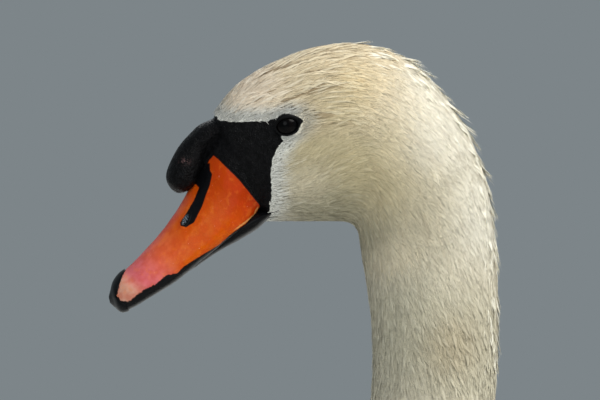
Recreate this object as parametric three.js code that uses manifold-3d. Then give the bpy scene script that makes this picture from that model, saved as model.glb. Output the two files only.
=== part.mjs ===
// A life-size mute swan at rest: it sits on its belly with its neck raised in an S, its wings folded and its
// feet tucked under its flanks. Millimetres, +Z up. The bird faces -Y and its left side is at +X. The origin is
// on the floor, under the middle of its length.

import * as THREE from "three";
import { mergeVertices } from "three/addons/utils/BufferGeometryUtils.js";
import Module from "manifold-3d";

const wasm = await Module();
wasm.setup();

// Driving sizes
const GAP = 0.3; // between two pieces that meet
const FLOOR_Z = 0;
const EYE_RADIUS = 7;
const EYE_AT = new THREE.Vector3(17.8, -370.5, 759.3); // centre of the left eyeball
const NAIL_LENGTH = 9; // hard tip of the upper bill
const NAIL_SLANT_ROW = 3.4; // the nail ends in a plane that slants as the bill's section does here
const TOE_RADIUS = 6;
const WEB_THICKNESS = 3;
const WEB_HOLLOW = 0.82; // how far out the middle of a web's front edge lies
const TARSUS_RADIUS = 8.5;

// Facets round each kind of piece
const AROUND = {
  body: 24,
  bill: 18,
  jaw: 14,
  knob: 16,
  wing: 20,
  tail: 20,
  thigh: 12,
  tarsus: 10,
  toe: 6,
  eye: 12,
};

// A body station is one cross-section. It runs between an upper and a lower point in the plane of symmetry:
// [upper y, upper z, lower y, lower z, half-width, squareness above, squareness below, fullness above]
// Squareness 2 is an ellipse. Fullness above 0 moves the widest place towards the upper point, below 0 away.
const BODY = [
  [-408.5, 761, -383, 711, 17, 2.2, 2.2, 0.05], // 0 base of the bill
  [-397, 777.5, -364, 711.2, 21, 2.1, 2.3, -0.05], // 1 forehead
  [-380, 789.5, -352, 711.3, 24, 2.1, 2.3, -0.1], // 2 eyes
  [-356, 798.2, -342.5, 711, 26.5, 2.1, 2.2, -0.1], // 3 crown
  [-331, 799, -337.3, 709.2, 28, 2.1, 2.1, -0.05], // 4 back of the jaw
  [-305, 790, -335.7, 705.5, 29, 2.1, 2, 0], // 5 nape, which fans round the throat
  [-282.5, 763.5, -334.8, 700, 29, 2, 2, 0], // 6
  [-270.5, 733, -333.9, 693, 29, 2, 2, 0], // 7
  [-265.8, 700, -331.8, 681, 29.5, 2, 2, 0], // 8 top of the neck
  [-265, 656.5, -328.7, 654, 30, 2, 2, 0], // 9
  [-267.5, 618, -329.6, 618, 30, 2, 2, 0], // 10
  [-273, 560, -338, 555, 31, 2, 2, 0], // 11 middle of the neck
  [-281, 496, -351, 484, 33.5, 2, 2, 0], // 12
  [-290, 434, -370, 410, 39, 2, 2, 0], // 13 the neck widens into the shoulders
  [-294, 390, -391, 342, 50, 2, 2, 0], // 14
  [-281, 361, -413, 272, 71, 2, 2, 0.05], // 15
  [-245, 346, -424, 205, 98, 2, 2, 0.05], // 16 front of the breast
  [-195, 342, -417, 130, 128, 2.05, 2, 0.04], // 17
  [-135, 345, -370, 56, 151, 2.1, 2, 0.02], // 18
  [-65, 348, -280, 8, 166, 2.1, 2, 0], // 19 back and belly
  [15, 343, -150, -6, 172, 2.1, 2, 0], // 20
  [95, 328, 0, -7, 166, 2.1, 2, 0], // 21
  [170, 301, 125, 6, 144, 2.05, 2, 0.03], // 22
  [238, 265, 220, 48, 108, 2, 2, 0.06], // 23 rump
  [295, 231, 295, 106, 71, 2, 2, 0.08], // 24
  [338, 208, 345, 152, 42, 2, 2, 0.08], // 25 root of the tail
];
// The row where each part of it ends
const CUTS = { head: 6, neck_upper: 10, neck_middle: 12, neck_lower: 14, breast: 18, trunk: 22 };

// The upper bill, its closed tip first. The section is low and wide at the tip and tall at the base.
const BILL = [
  [-460.2, 672.8, -459.6, 670, 1.2, 2, 2.2, 0],
  [-459.4, 676, -457, 667.8, 5, 2, 2.6, 0],
  [-458.2, 680.3, -453.5, 665.8, 10.5, 2, 3, -0.05],
  [-455.3, 684.3, -448, 668.2, 13.6, 2, 3.4, -0.12],
  [-450.8, 687.9, -440.5, 672.9, 15.3, 2, 3.6, -0.2],
  [-441, 698, -428.5, 680.2, 16, 2, 3.6, -0.26],
  [-431.6, 709.3, -415.7, 690.3, 15.8, 2, 3.6, -0.3],
  [-423.3, 722, -403.2, 700, 15.8, 2, 3.6, -0.3],
  [-416.5, 736, -391.7, 708.3, 16.3, 2, 3.2, -0.25],
  [-410.5, 753, -384.2, 716.2, 17, 2.1, 2.6, -0.1],
  [-402, 763, -378, 718, 17.4, 2.2, 2.2, 0],
];

// The lower bill, which nests in the hollow underside of the upper one.
const JAW = [
  [-447.8, 674.8, -446, 671.6, 7, 2, 2, 0],
  [-443, 679.2, -440, 674.8, 11.5, 2, 2.4, 0],
  [-423.4, 691.4, -420, 686.3, 12.8, 2, 2.4, 0],
  [-411.2, 701, -407.5, 694.8, 12.8, 2, 2.4, 0],
  [-399.5, 710, -395, 701.8, 13.4, 2, 2.2, 0],
  [-386.5, 719, -381.5, 709.6, 15, 2, 2.2, 0],
  [-378, 724, -373, 711.5, 15.4, 2, 2.2, 0],
];

// The knob over the bill's base, along its own slanting axis: [along, outer edge, inner edge, half-width]
const KNOB_CENTRE = { y: -419.5, z: 742.5 };
const KNOB_AXIS = { y: -0.405, z: -0.914 }; // from the forehead down to the bill
const KNOB = [
  [-20, 0, -1.5, 1.5],
  [-16, 2.9, -5, 6.5],
  [-7, 5.9, -7, 9.8],
  [2, 7.7, -8, 11.6],
  [10, 8.8, -8, 12.2],
  [15, 7.2, -6, 10.2],
  [17.6, 3.6, -3, 6],
  [18.4, 0.8, -0.8, 1.5],
];

// The folded left wing: [y, lower x, lower z, upper x, upper z, bulge outwards, bulge inwards]
const WING = [
  [-309, 108, 224, 100, 238, 3, 3],
  [-304, 120, 204, 94, 262, 12, 8],
  [-288, 138, 178, 86, 296, 26, 14],
  [-250, 155, 149, 74, 328, 40, 20],
  [-190, 168, 127, 55, 349, 52, 24],
  [-110, 175, 115, 35, 361, 61, 26],
  [-20, 172, 117, 20, 364, 62, 26],
  [70, 158, 131, 12, 354, 57, 24],
  [150, 132, 154, 8, 334, 48, 20],
  [220, 100, 178, 6, 306, 37, 16],
  [280, 68, 197, 6, 275, 25, 12],
  [325, 43, 209, 7, 248, 14, 8],
  [354, 27, 214, 14, 229, 3, 3],
];
const WING_TIP_FROM = 232; // the primaries reach past the rest of the wing from here

// The wedge of the tail, as body stations.
const TAIL = [
  [300, 222, 300, 180, 44, 2, 2, 0],
  [340, 212, 342, 176, 56, 2, 2, 0],
  [380, 200, 381, 174, 60, 2, 2, 0],
  [415, 191, 416, 172, 51, 2, 2, 0],
  [440, 184, 441, 171, 32, 2, 2, 0],
  [456, 179, 456, 171, 12, 2, 2, 0],
  [460, 176, 460, 173, 2.5, 2, 2, 0],
];

// The tucked left leg
const THIGH = { top: [92, 92, 70], hock: [90, 158, 16], topRadius: 40, hockRadius: 14 };
const HEEL = [100, 48, 5.6];
const TOE_TIPS = [
  [76, -44, 3.8],
  [106, -82, 3.8],
  [140, -52, 3.8],
];
const HIND_TOE_TIP = [84, 72, 4.5];
const CLAW_LENGTH = 12;
const CLAW_TIP_Z = 1.5;

// Shapes

// The values of a list of rows at place t, on a Catmull-Rom curve through them, one unit of t a row.
function rowAt(rows, t) {
  const last = rows.length - 1;
  const i = Math.min(Math.floor(t), last - 1);
  const f = t - i;
  const [b, c] = [rows[i], rows[i + 1]];
  const a = rows[i - 1] ?? b.map((v, k) => 2 * v - c[k]);
  const d = rows[i + 2] ?? c.map((v, k) => 2 * v - b[k]);
  return b.map((v, k) => {
    const slope = (c[k] - a[k]) / 2;
    const nextSlope = (d[k] - v) / 2;
    const rise = c[k] - v;
    return v + f * (slope + f * (3 * rise - 2 * slope - nextSlope + f * (slope + nextSlope - 2 * rise)));
  });
}

const power = (v, squareness) => Math.sign(v) * Math.abs(v) ** (2 / squareness);

// A body row as a section: its ends, the directions across it, and how far it reaches each way.
function bodySection([uy, uz, ly, lz, half, above, below, fullness]) {
  return {
    upper: new THREE.Vector3(0, uy, uz),
    lower: new THREE.Vector3(0, ly, lz),
    side: new THREE.Vector3(1, 0, 0),
    out: half,
    inward: half,
    above,
    below,
    fullness,
  };
}

function knobSection([along, outer, inner, half]) {
  const out = { y: KNOB_AXIS.z, z: -KNOB_AXIS.y }; // square to the axis, away from the bill
  const at = (reach) => [
    KNOB_CENTRE.y + KNOB_AXIS.y * along + out.y * reach,
    KNOB_CENTRE.z + KNOB_AXIS.z * along + out.z * reach,
  ];
  return bodySection([...at(inner), ...at(outer), half, 2, 2, 0]);
}

function wingSection([y, lowerX, lowerZ, upperX, upperZ, bulge, inward]) {
  const upper = new THREE.Vector3(upperX, y, upperZ);
  const lower = new THREE.Vector3(lowerX, y, lowerZ);
  const side = new THREE.Vector3(upperZ - lowerZ, 0, lowerX - upperX).normalize();
  return { upper, lower, side, out: bulge, inward, above: 2, below: 2.2, fullness: 0 };
}

// A closed surface through sections. `grow` makes it that much larger, to cut room for it in a neighbour.
function loft(rows, sectionOf, around, stepsPerRow, grow = 0) {
  const steps = (rows.length - 1) * stepsPerRow;
  const points = [];
  const ends = [];
  for (let k = 0; k <= steps; k++) {
    const s = sectionOf(rowAt(rows, k / stepsPerRow));
    const centre = s.upper.clone().add(s.lower).divideScalar(2);
    const half = s.upper.clone().sub(s.lower).divideScalar(2);
    half.setLength(half.length() + grow);
    for (let i = 0; i < around; i++) {
      const angle = (2 * Math.PI * i) / around;
      const squareness = Math.cos(angle) > 0 ? s.above : s.below;
      const up = power(Math.cos(angle), squareness);
      const out = power(Math.sin(angle), squareness);
      const reach = ((out > 0 ? s.out : s.inward) + grow) * out * (1 + s.fullness * up);
      points.push(centre.clone().addScaledVector(half, up).addScaledVector(s.side, reach));
    }
    if (k === 0 || k === steps) ends.push(centre);
  }
  const firstEnd = points.push(ends[0]) - 1;
  const lastEnd = points.push(ends[1]) - 1;
  const faces = [];
  for (let i = 0; i < around; i++) {
    const j = (i + 1) % around;
    faces.push(firstEnd, j, i, lastEnd, steps * around + i, steps * around + j);
    for (let k = 0; k < steps; k++) {
      const a = k * around + i;
      const b = k * around + j;
      // The diagonals mirror each other, so a symmetric row gives a symmetric surface.
      if (i < around / 2) faces.push(a, b, a + around, b, b + around, a + around);
      else faces.push(a, b, b + around, a, b + around, a + around);
    }
  }
  return new THREE.BufferGeometry().setFromPoints(points).setIndex(faces);
}

// A cone with round ends between two points.
function rod(from, to, fromRadius, toRadius, around) {
  const [a, b] = [new THREE.Vector3(...from), new THREE.Vector3(...to)];
  const length = a.distanceTo(b);
  const profile = [];
  for (const angle of [-90, -45, 0].map(THREE.MathUtils.degToRad)) {
    profile.push(new THREE.Vector2(fromRadius * Math.cos(angle), fromRadius * Math.sin(angle)));
  }
  for (const angle of [0, 45, 90].map(THREE.MathUtils.degToRad)) {
    profile.push(new THREE.Vector2(toRadius * Math.cos(angle), length + toRadius * Math.sin(angle)));
  }
  const turn = new THREE.Quaternion().setFromUnitVectors(
    new THREE.Vector3(0, 1, 0),
    b.clone().sub(a).normalize(),
  );
  return new THREE.LatheGeometry(profile, around).applyQuaternion(turn).translate(a.x, a.y, a.z);
}

// The web between two toes: a thin plate whose front edge curves in.
function web(heel, tipA, tipB) {
  const middle = [(tipA[0] + tipB[0]) / 2, (tipA[1] + tipB[1]) / 2];
  const control = [0, 1].map((k) => heel[k] + (2 * WEB_HOLLOW - 1) * (middle[k] - heel[k]));
  const outline = new THREE.Shape();
  outline.moveTo(heel[0], heel[1]);
  outline.lineTo(tipA[0], tipA[1]);
  outline.quadraticCurveTo(...control, tipB[0], tipB[1]);
  outline.closePath();
  return new THREE.ExtrudeGeometry(outline, { depth: WEB_THICKNESS, bevelEnabled: false, curveSegments: 4 });
}

// Solids

function solid(geometry) {
  const g = geometry.clone();
  g.deleteAttribute("normal");
  g.deleteAttribute("uv");
  const merged = mergeVertices(g, 1e-3);
  return new wasm.Manifold(
    new wasm.Mesh({
      numProp: 3,
      vertProperties: merged.attributes.position.array,
      triVerts: new Uint32Array(merged.index.array),
    }),
  );
}

function geometryOf(manifold) {
  const mesh = manifold.getMesh();
  const made = new THREE.BufferGeometry();
  made.setAttribute("position", new THREE.BufferAttribute(mesh.vertProperties, 3));
  made.setIndex(new THREE.BufferAttribute(mesh.triVerts, 1));
  made.computeVertexNormals();
  return made;
}

// The plane of a body section, as its normal towards the tail and its distance from the origin.
function planeAt(rows, t) {
  const [uy, uz, ly, lz] = rowAt(rows, t);
  const normal = new THREE.Vector3(0, uz - lz, ly - uy).normalize();
  return { normal, distance: normal.y * uy + normal.z * uz };
}

function keepBehind(body, { normal, distance }) {
  return body.trimByPlane(normal.toArray(), distance + GAP / 2);
}

function keepInFront(body, { normal, distance }) {
  return body.trimByPlane(normal.clone().negate().toArray(), -distance + GAP / 2);
}

function aboveFloor(body) {
  return body.trimByPlane([0, 0, 1], FLOOR_Z);
}

// Materials

const finish = (color, roughness) => new THREE.MeshStandardMaterial({ color, roughness, metalness: 0 });
const feather = finish(0xeae3d0, 0.85);
const headFeather = finish(0xe4d9bb, 0.85);
const orangeHorn = finish(0xdd5a1c, 0.45);
const blackSkin = finish(0x17171a, 0.6);
const eyeDark = finish(0x120d0a, 0.1);
const footSkin = finish(0x2b2a2a, 0.7);

const swan = new THREE.Group();
function addNode(name, body, material) {
  const mesh = new THREE.Mesh(geometryOf(body), material);
  mesh.name = name;
  swan.add(mesh);
  return mesh;
}

// Adds a left piece and its mirror image on the right.
function addPair(name, body, material) {
  addNode(`${name}_left`, body, material);
  addNode(`${name}_right`, body, material).scale.x = -1;
}

// Trunk, neck and head: one body, parted by thin cuts

const whole = aboveFloor(solid(loft(BODY, bodySection, AROUND.body, 2)));
const wholeGrown = solid(loft(BODY, bodySection, AROUND.body, 2, GAP));

// An eyeball, or with room round it the socket that it sits in
function eyeball(side, room) {
  const ball = new THREE.SphereGeometry(EYE_RADIUS + room, AROUND.eye, AROUND.eye * 0.75);
  return solid(ball.translate(side * EYE_AT.x, EYE_AT.y, EYE_AT.z));
}
let rest = whole.subtract(eyeball(1, GAP)).subtract(eyeball(-1, GAP));
for (const [name, row] of Object.entries(CUTS)) {
  const plane = planeAt(BODY, row);
  addNode(name, keepInFront(rest, plane), name === "head" ? headFeather : feather);
  rest = keepBehind(rest, plane);
}
addNode("rump", rest, feather);
addPair("eye", eyeball(1, 0), eyeDark);

// Bill and knob, in front of the first body section

const billEnd = planeAt(BODY, 0);
const jaw = keepInFront(solid(loft(JAW, bodySection, AROUND.jaw, 2)), billEnd);
const jawRoom = solid(loft(JAW, bodySection, AROUND.jaw, 2, GAP));
const upperBill = solid(loft(BILL, bodySection, AROUND.bill, 2));
const billFront = keepInFront(upperBill, billEnd).subtract(jawRoom);
const [billTipY, billTipZ] = BILL[0];
const { normal: nailNormal } = planeAt(BILL, NAIL_SLANT_ROW);
const nailDistance = nailNormal.y * (billTipY + NAIL_LENGTH) + nailNormal.z * billTipZ;
const nailPlane = { normal: nailNormal, distance: nailDistance };
addNode("bill_nail", keepInFront(billFront, nailPlane), blackSkin);
addNode("bill_upper", keepBehind(billFront, nailPlane), orangeHorn);
addNode("bill_lower", jaw, blackSkin);

const billRoom = solid(loft(BILL, bodySection, AROUND.bill, 2, GAP));
const knob = solid(loft(KNOB, knobSection, AROUND.knob, 1)).subtract(billRoom).subtract(wholeGrown);
addNode("knob", knob, blackSkin);

// Tail, wings and legs, each cut to lie against what it meets

const tail = solid(loft(TAIL, bodySection, AROUND.tail, 1)).subtract(wholeGrown);
addNode("tail", tail, feather);

const tailRoom = solid(loft(TAIL, bodySection, AROUND.tail, 1, GAP));
const wing = solid(loft(WING, wingSection, AROUND.wing, 1)).subtract(wholeGrown).subtract(tailRoom);
const wingTipPlane = { normal: new THREE.Vector3(0, 1, 0), distance: WING_TIP_FROM };
addPair("wing", keepInFront(wing, wingTipPlane), feather);
addPair("wing_tip", keepBehind(wing, wingTipPlane), feather);

function thighLeg(room) {
  return solid(
    rod(THIGH.top, THIGH.hock, THIGH.topRadius + room, THIGH.hockRadius + room, AROUND.thigh),
  );
}

// A toe or claw, whose ends are these shares of a toe's full radius
function toe(from, to, fromShare, toShare) {
  return solid(rod(from, to, TOE_RADIUS * fromShare, TOE_RADIUS * toShare, AROUND.toe));
}

const thigh = thighLeg(0).subtract(wholeGrown);
const tarsusEnd = [HEEL[0], HEEL[1], TARSUS_RADIUS - 1]; // just above the heel, inside it
let foot = solid(rod(THIGH.hock, tarsusEnd, TARSUS_RADIUS * 1.1, TARSUS_RADIUS, AROUND.tarsus));
for (const tip of TOE_TIPS) {
  const along = new THREE.Vector3(...tip).sub(new THREE.Vector3(...HEEL)).normalize();
  const clawTip = [tip[0] + along.x * CLAW_LENGTH, tip[1] + along.y * CLAW_LENGTH, CLAW_TIP_Z];
  foot = foot.add(toe(HEEL, tip, 1, 0.75)).add(toe(tip, clawTip, 0.6, 0.17));
}
foot = foot.add(toe(HEEL, HIND_TOE_TIP, 0.7, 0.5));
for (const i of [0, 1]) foot = foot.add(solid(web(HEEL, TOE_TIPS[i], TOE_TIPS[i + 1])));
addPair("thigh", aboveFloor(thigh), feather);
addPair("foot", aboveFloor(foot).subtract(thighLeg(GAP)).subtract(wholeGrown), footSkin);

export default swan;
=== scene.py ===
"""A life-size mute swan at rest on its belly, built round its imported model.

The bird faces -Y, its left side is at +X, and it rests on the floor at z = 0. Lengths are in millimetres, as
they are in the solids, and turn to metres where a surface is made or read. The outer shapes are those of the
solids, which the feathers' tips reach. The skin lies under them by the feathers' depth.
"""

import math

import bpy
import numpy as np
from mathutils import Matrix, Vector
from mathutils.kdtree import KDTree


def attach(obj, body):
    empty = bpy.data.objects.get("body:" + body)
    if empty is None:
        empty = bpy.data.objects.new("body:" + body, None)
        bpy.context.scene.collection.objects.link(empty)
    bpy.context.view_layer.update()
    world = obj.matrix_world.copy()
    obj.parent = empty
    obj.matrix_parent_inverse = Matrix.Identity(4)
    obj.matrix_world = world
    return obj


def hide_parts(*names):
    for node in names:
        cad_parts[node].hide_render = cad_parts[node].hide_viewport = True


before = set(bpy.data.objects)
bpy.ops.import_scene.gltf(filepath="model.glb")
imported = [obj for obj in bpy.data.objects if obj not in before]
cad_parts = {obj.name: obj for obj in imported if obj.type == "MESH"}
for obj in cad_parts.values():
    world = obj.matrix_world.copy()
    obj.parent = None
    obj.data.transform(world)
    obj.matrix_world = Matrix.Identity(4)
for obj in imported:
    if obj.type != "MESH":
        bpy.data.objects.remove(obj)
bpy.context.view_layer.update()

MM = 0.001

# The seed of the random draws, and those of each noise, so that no two run alike
DRAWS = 11
BILL_WAVES, BILL_GRAIN, WRINKLES, KNOB_WAVES, KNOB_GRAIN, JAW_WAVES, IRIS_FIBRES = range(3, 10)
RAGGED_MASK, PLUMAGE_PATCHES, PLUMAGE_FLECKS = 12, 14, 15
FURROWS, SWAY, BROAD_FURROWS, BODY_SWAY, RUFFLES = 21, 22, 23, 31, 77

# --- The bird's sizes ---

# A row is one cross-section, from an upper to a lower point in the plane of symmetry:
# upper y, upper z, lower y, lower z, half-width, squareness above, squareness below, fullness above.
BODY = [
    (-410.5, 762.4, -383, 711, 17, 2.2, 2.2, 0.05),  # 0 base of the bill
    (-398, 777.8, -364, 711.2, 21, 2.1, 2.3, -0.05),  # 1 forehead
    (-380, 789.5, -352, 711.3, 24, 2.1, 2.3, -0.1),  # 2 eyes
    (-356, 798.2, -342.5, 711, 26.5, 2.1, 2.2, -0.1),  # 3 crown
    (-331, 799, -337.3, 709.2, 28, 2.1, 2.1, -0.05),  # 4 back of the jaw
    (-306.6, 787.8, -335.7, 705.5, 29, 2.1, 2, 0),  # 5 nape
    (-284.8, 761.5, -334.8, 700, 29, 2, 2, 0),  # 6
    (-272.8, 732, -333.9, 693, 29, 2, 2, 0),  # 7
    (-267.6, 699.7, -331.8, 681, 29.5, 2, 2, 0),  # 8 top of the neck
    (-266.2, 656.5, -328.7, 654, 30, 2, 2, 0),  # 9
    (-267.5, 618, -329.6, 618, 30, 2, 2, 0),  # 10
    (-273, 560, -338, 555, 31, 2, 2, 0),  # 11 middle of the neck
    (-281, 496, -351, 484, 33.5, 2, 2, 0),  # 12
    (-290, 434, -370, 410, 39, 2, 2, 0),  # 13 the neck widens into the shoulders
    (-294, 390, -391, 342, 50, 2, 2, 0),  # 14
    (-281, 361, -413, 272, 71, 2, 2, 0.05),  # 15
    (-245, 346, -424, 205, 98, 2, 2, 0.05),  # 16 front of the breast
    (-195, 342, -417, 130, 128, 2.05, 2, 0.04),  # 17
    (-135, 345, -370, 56, 151, 2.1, 2, 0.02),  # 18
    (-65, 348, -280, 8, 166, 2.1, 2, 0),  # 19 back and belly
    (15, 343, -150, -6, 172, 2.1, 2, 0),  # 20
    (95, 328, 0, -7, 166, 2.1, 2, 0),  # 21
    (170, 301, 125, 6, 144, 2.05, 2, 0.03),  # 22
    (238, 265, 220, 48, 108, 2, 2, 0.06),  # 23 rump
    (295, 231, 295, 106, 71, 2, 2, 0.08),  # 24
    (338, 208, 345, 152, 42, 2, 2, 0.08),  # 25 root of the tail
]
BILL = [
    (-460.2, 672.8, -459.6, 670, 1.2, 2, 2.2, 0),
    (-459.4, 676, -457, 667.8, 5, 2, 2.6, 0),
    (-458.2, 680.3, -453.5, 665.8, 10.5, 2, 3, -0.05),
    (-455.3, 684.3, -448, 668.2, 13.6, 2, 3.4, -0.12),
    (-450.8, 687.9, -440.5, 672.9, 15.3, 2, 3.6, -0.2),
    (-441, 698, -428.5, 680.2, 16, 2, 3.6, -0.26),
    (-431.6, 709.3, -415.7, 690.3, 15.8, 2, 3.6, -0.3),
    (-423.3, 722, -403.2, 700, 15.8, 2, 3.6, -0.3),
    (-416.5, 736, -391.7, 708.3, 16.3, 2, 3.2, -0.25),
    (-410.5, 753, -384.2, 716.2, 17, 2.1, 2.6, -0.1),
    (-402, 763, -378, 718, 17.4, 2.2, 2.2, 0),
]
JAW = [
    (-447.8, 674.8, -446, 671.6, 7, 2, 2, 0),
    (-443, 679.2, -440, 674.8, 11.5, 2, 2.4, 0),
    (-423.4, 691.4, -420, 686.3, 12.8, 2, 2.4, 0),
    (-411.2, 701, -407.5, 694.8, 12.8, 2, 2.4, 0),
    (-399.5, 710, -395, 701.8, 13.4, 2, 2.2, 0),
    (-386.5, 719, -381.5, 709.6, 15, 2, 2.2, 0),
    (-378, 724, -373, 711.5, 15.4, 2, 2.2, 0),
]
# The knob on the base of the bill, along its own axis: along, outer edge, inner edge, half-width
KNOB_CENTRE = (-419.5, 742.5)
KNOB_AXIS = (-0.405, -0.914)
KNOB = [
    (-29, -9, -14, 5),
    (-26, -5, -15, 9),
    (-20, 0.4, -14, 10.5),
    (-16, 3.5, -12, 10.5),
    (-7, 7.0, -7, 9.8),
    (2, 8.4, -8, 11.6),
    (10, 8.8, -8, 12.2),
    (15, 7.2, -6, 10.2),
    (17.6, 3.6, -3, 6),
    (18.4, 0.8, -0.8, 1.5),
]
# The folded wing: y, lower x, lower z, upper x, upper z, bulge outwards, bulge inwards
WING = [
    (-309, 108, 224, 100, 238, 3, 3),
    (-304, 120, 204, 94, 262, 12, 8),
    (-288, 138, 178, 86, 296, 26, 14),
    (-250, 155, 149, 74, 328, 40, 20),
    (-190, 168, 127, 55, 349, 52, 24),
    (-110, 175, 115, 35, 361, 61, 26),
    (-20, 172, 117, 20, 364, 62, 26),
    (70, 158, 131, 12, 354, 57, 24),
    (150, 132, 154, 8, 334, 48, 20),
    (220, 100, 178, 6, 306, 37, 16),
    (280, 68, 197, 6, 275, 25, 12),
    (325, 43, 209, 7, 248, 14, 8),
    (354, 27, 214, 14, 229, 3, 3),
]
TAIL = [
    (300, 222, 300, 180, 44, 2, 2, 0),
    (340, 212, 342, 176, 56, 2, 2, 0),
    (380, 200, 381, 174, 60, 2, 2, 0),
    (415, 191, 416, 172, 51, 2, 2, 0),
    (440, 184, 441, 171, 32, 2, 2, 0),
    (456, 179, 456, 171, 12, 2, 2, 0),
    (460, 176, 460, 173, 2.5, 2, 2, 0),
]
EYE_AT = (17.8, -371.3, 760.7)
EYE_RADIUS = 7
SIDES = (("left", 1), ("right", -1))

# --- The outlines of the markings ---

# The camera is on the bird's left and looks down a little. Its distance and its target are in metres.
VIEW_TILT = math.radians(5.5)
VIEW_DISTANCE = 3.0
VIEW_TARGET = (0, -0.365, 0.7215)
# Each outline is a loop of (y, z) in the plane of symmetry, as this camera sees it.
MASK = [
    (-414, 766), (-408.2, 764.6), (-405.2, 761.4), (-399.5, 760.8), (-390, 760.8), (-381.3, 761.2),
    (-376.6, 762.8), (-371.1, 764), (-366, 763.4), (-363.2, 761.6), (-364.7, 758.6), (-367.3, 755.1),
    (-374.6, 753.7), (-373.3, 751),
    (-376.2, 747.7), (-378.9, 742.1), (-379.7, 734.4), (-379.2, 729), (-379.7, 719.6), (-380.6, 715.6),
    (-382.6, 712.8), (-385, 708), (-392, 695), (-430, 690), (-440, 740), (-425, 762),
]
ORANGE = [
    (-408.2, 743.8), (-405.6, 741.7), (-400.9, 737), (-395.5, 731.7), (-390.2, 725), (-385.1, 718.6),
    (-387.5, 713.6), (-392.2, 709.6), (-398.9, 704.9), (-405.6, 698.9), (-415.6, 692.9), (-423, 688.2),
    (-426.4, 684.8), (-432.4, 683.5), (-437, 679.5), (-444.4, 675.5), (-451.1, 670.1), (-454.5, 670.8),
    (-456.8, 673.4), (-455.8, 678.1), (-453.8, 683.5), (-451.6, 687.2), (-448, 697), (-436, 713),
    (-424, 733), (-419, 730.2), (-415.6, 729.4), (-413.2, 733), (-411.8, 737), (-410.6, 741.1),
]
NOSTRIL_STREAK = [
    (-412.0, 739.5), (-410.0, 740.2), (-410.0, 736.5), (-408.9, 734.6), (-410.0, 729), (-412, 724),
    (-413.8, 718.5), (-418.0, 710.2), (-422, 707.8), (-424.8, 708.5), (-425, 710.2), (-421.2, 716),
    (-418.0, 721.5), (-415.5, 727.8), (-418.0, 730.2), (-420.0, 733),
]
NAIL = [
    (-451.4, 687.4), (-453.8, 683.5), (-455.6, 678.1), (-456.8, 673.4), (-454.5, 670.4), (-451.6, 668.6),
    (-448, 662), (-470, 655), (-470, 700), (-454, 695),
]


# --- Arithmetic ---


def rows_at(rows, t):
    """A table's rows at places t, on a Catmull-Rom curve through them, one unit of t a row."""
    rows = np.asarray(rows, float)
    t = np.clip(np.asarray(t, float), 0, len(rows) - 1)
    i = np.minimum(t.astype(int), len(rows) - 2)
    f = (t - i)[..., None]
    far = np.vstack([2 * rows[0] - rows[1], rows, 2 * rows[-1] - rows[-2]])
    a, b, c, d = far[i], far[i + 1], far[i + 2], far[i + 3]
    slope, next_slope, rise = (c - a) / 2, (d - b) / 2, c - b
    return b + f * (slope + f * (3 * rise - 2 * slope - next_slope + f * (slope + next_slope - 2 * rise)))


def unit(v):
    return v / np.maximum(np.linalg.norm(v, axis=-1, keepdims=True), 1e-12)


def ramp(x, low, high):
    """0 below low and 1 above high, with a soft rise between them."""
    f = np.clip((np.asarray(x, float) - low) / (high - low), 0, 1)
    return f * f * (3 - 2 * f)


def plateau(x, start, full, wane, end):
    """0 below start, 1 from full to wane, and 0 above end."""
    return ramp(x, start, full) * (1 - ramp(x, wane, end))


def blend(a, b, f):
    return a + (b - a) * np.asarray(f)[..., None]


def angles(count):
    """That many equal steps round a circle."""
    return np.arange(count) * 2 * math.pi / count


def column(value, n):
    """One value, or n of them, as a column of n."""
    return np.broadcast_to(value, (n,))[:, None]


def value_at(spacing, t):
    """A spacing is a number, or a function of how far along the surface it is."""
    return spacing(t) if callable(spacing) else spacing


def paint(*screen):
    """A colour as light, from its red, green and blue on a screen, out of 255."""
    c = np.array(screen, float) / 255
    return np.where(c <= 0.04045, c / 12.92, ((c + 0.055) / 1.055) ** 2.4)


def lattice(i, j, k, seed):
    """A steady number from 0 to 1 for each point of a lattice."""
    h = i.astype(np.uint32) * np.uint32(73856093) ^ j.astype(np.uint32) * np.uint32(19349663)
    h = h ^ k.astype(np.uint32) * np.uint32(83492791) ^ np.uint32(seed * 2654435761 & 0xFFFFFFFF)
    h = (h ^ (h >> np.uint32(13))) * np.uint32(1274126177)
    h = (h ^ (h >> np.uint32(15))) * np.uint32(2246822519)
    return (h >> np.uint32(8)).astype(float) / 0xFFFFFF


def noise(p, seed):
    """Smooth noise from -1 to 1 at the points p, with a lattice step of one unit."""
    low = np.floor(p).astype(np.int64)
    f = p - low
    f = f * f * (3 - 2 * f)
    total = 0
    for corner in range(8):
        bits = np.array([corner & 1, corner >> 1 & 1, corner >> 2 & 1])
        weight = np.prod(np.where(bits, f, 1 - f), axis=-1)
        total = total + weight * lattice(*np.moveaxis(low + bits, -1, 0), seed)
    return total * 2 - 1


def outline_distance(p, outline):
    """How far inside an outline the points p lie. Outside it is less than 0."""
    inside = np.zeros(p.shape[:-1], bool)
    nearest = np.full(p.shape[:-1], 1e9)
    for a, b in zip(outline, outline[1:] + outline[:1]):
        a, b = np.array(a, float), np.array(b, float)
        edge, way = b - a, p - a
        f = np.clip((way @ edge) / (edge @ edge), 0, 1)
        nearest = np.minimum(nearest, np.linalg.norm(way - f[..., None] * edge, axis=-1))
        crosses = (a[1] > p[..., 1]) != (b[1] > p[..., 1])
        at = a[0] + (p[..., 1] - a[1]) * edge[0] / (edge[1] if edge[1] else 1e-9)
        inside ^= crosses & (p[..., 0] < at)
    return np.where(inside, nearest, -nearest)


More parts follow.
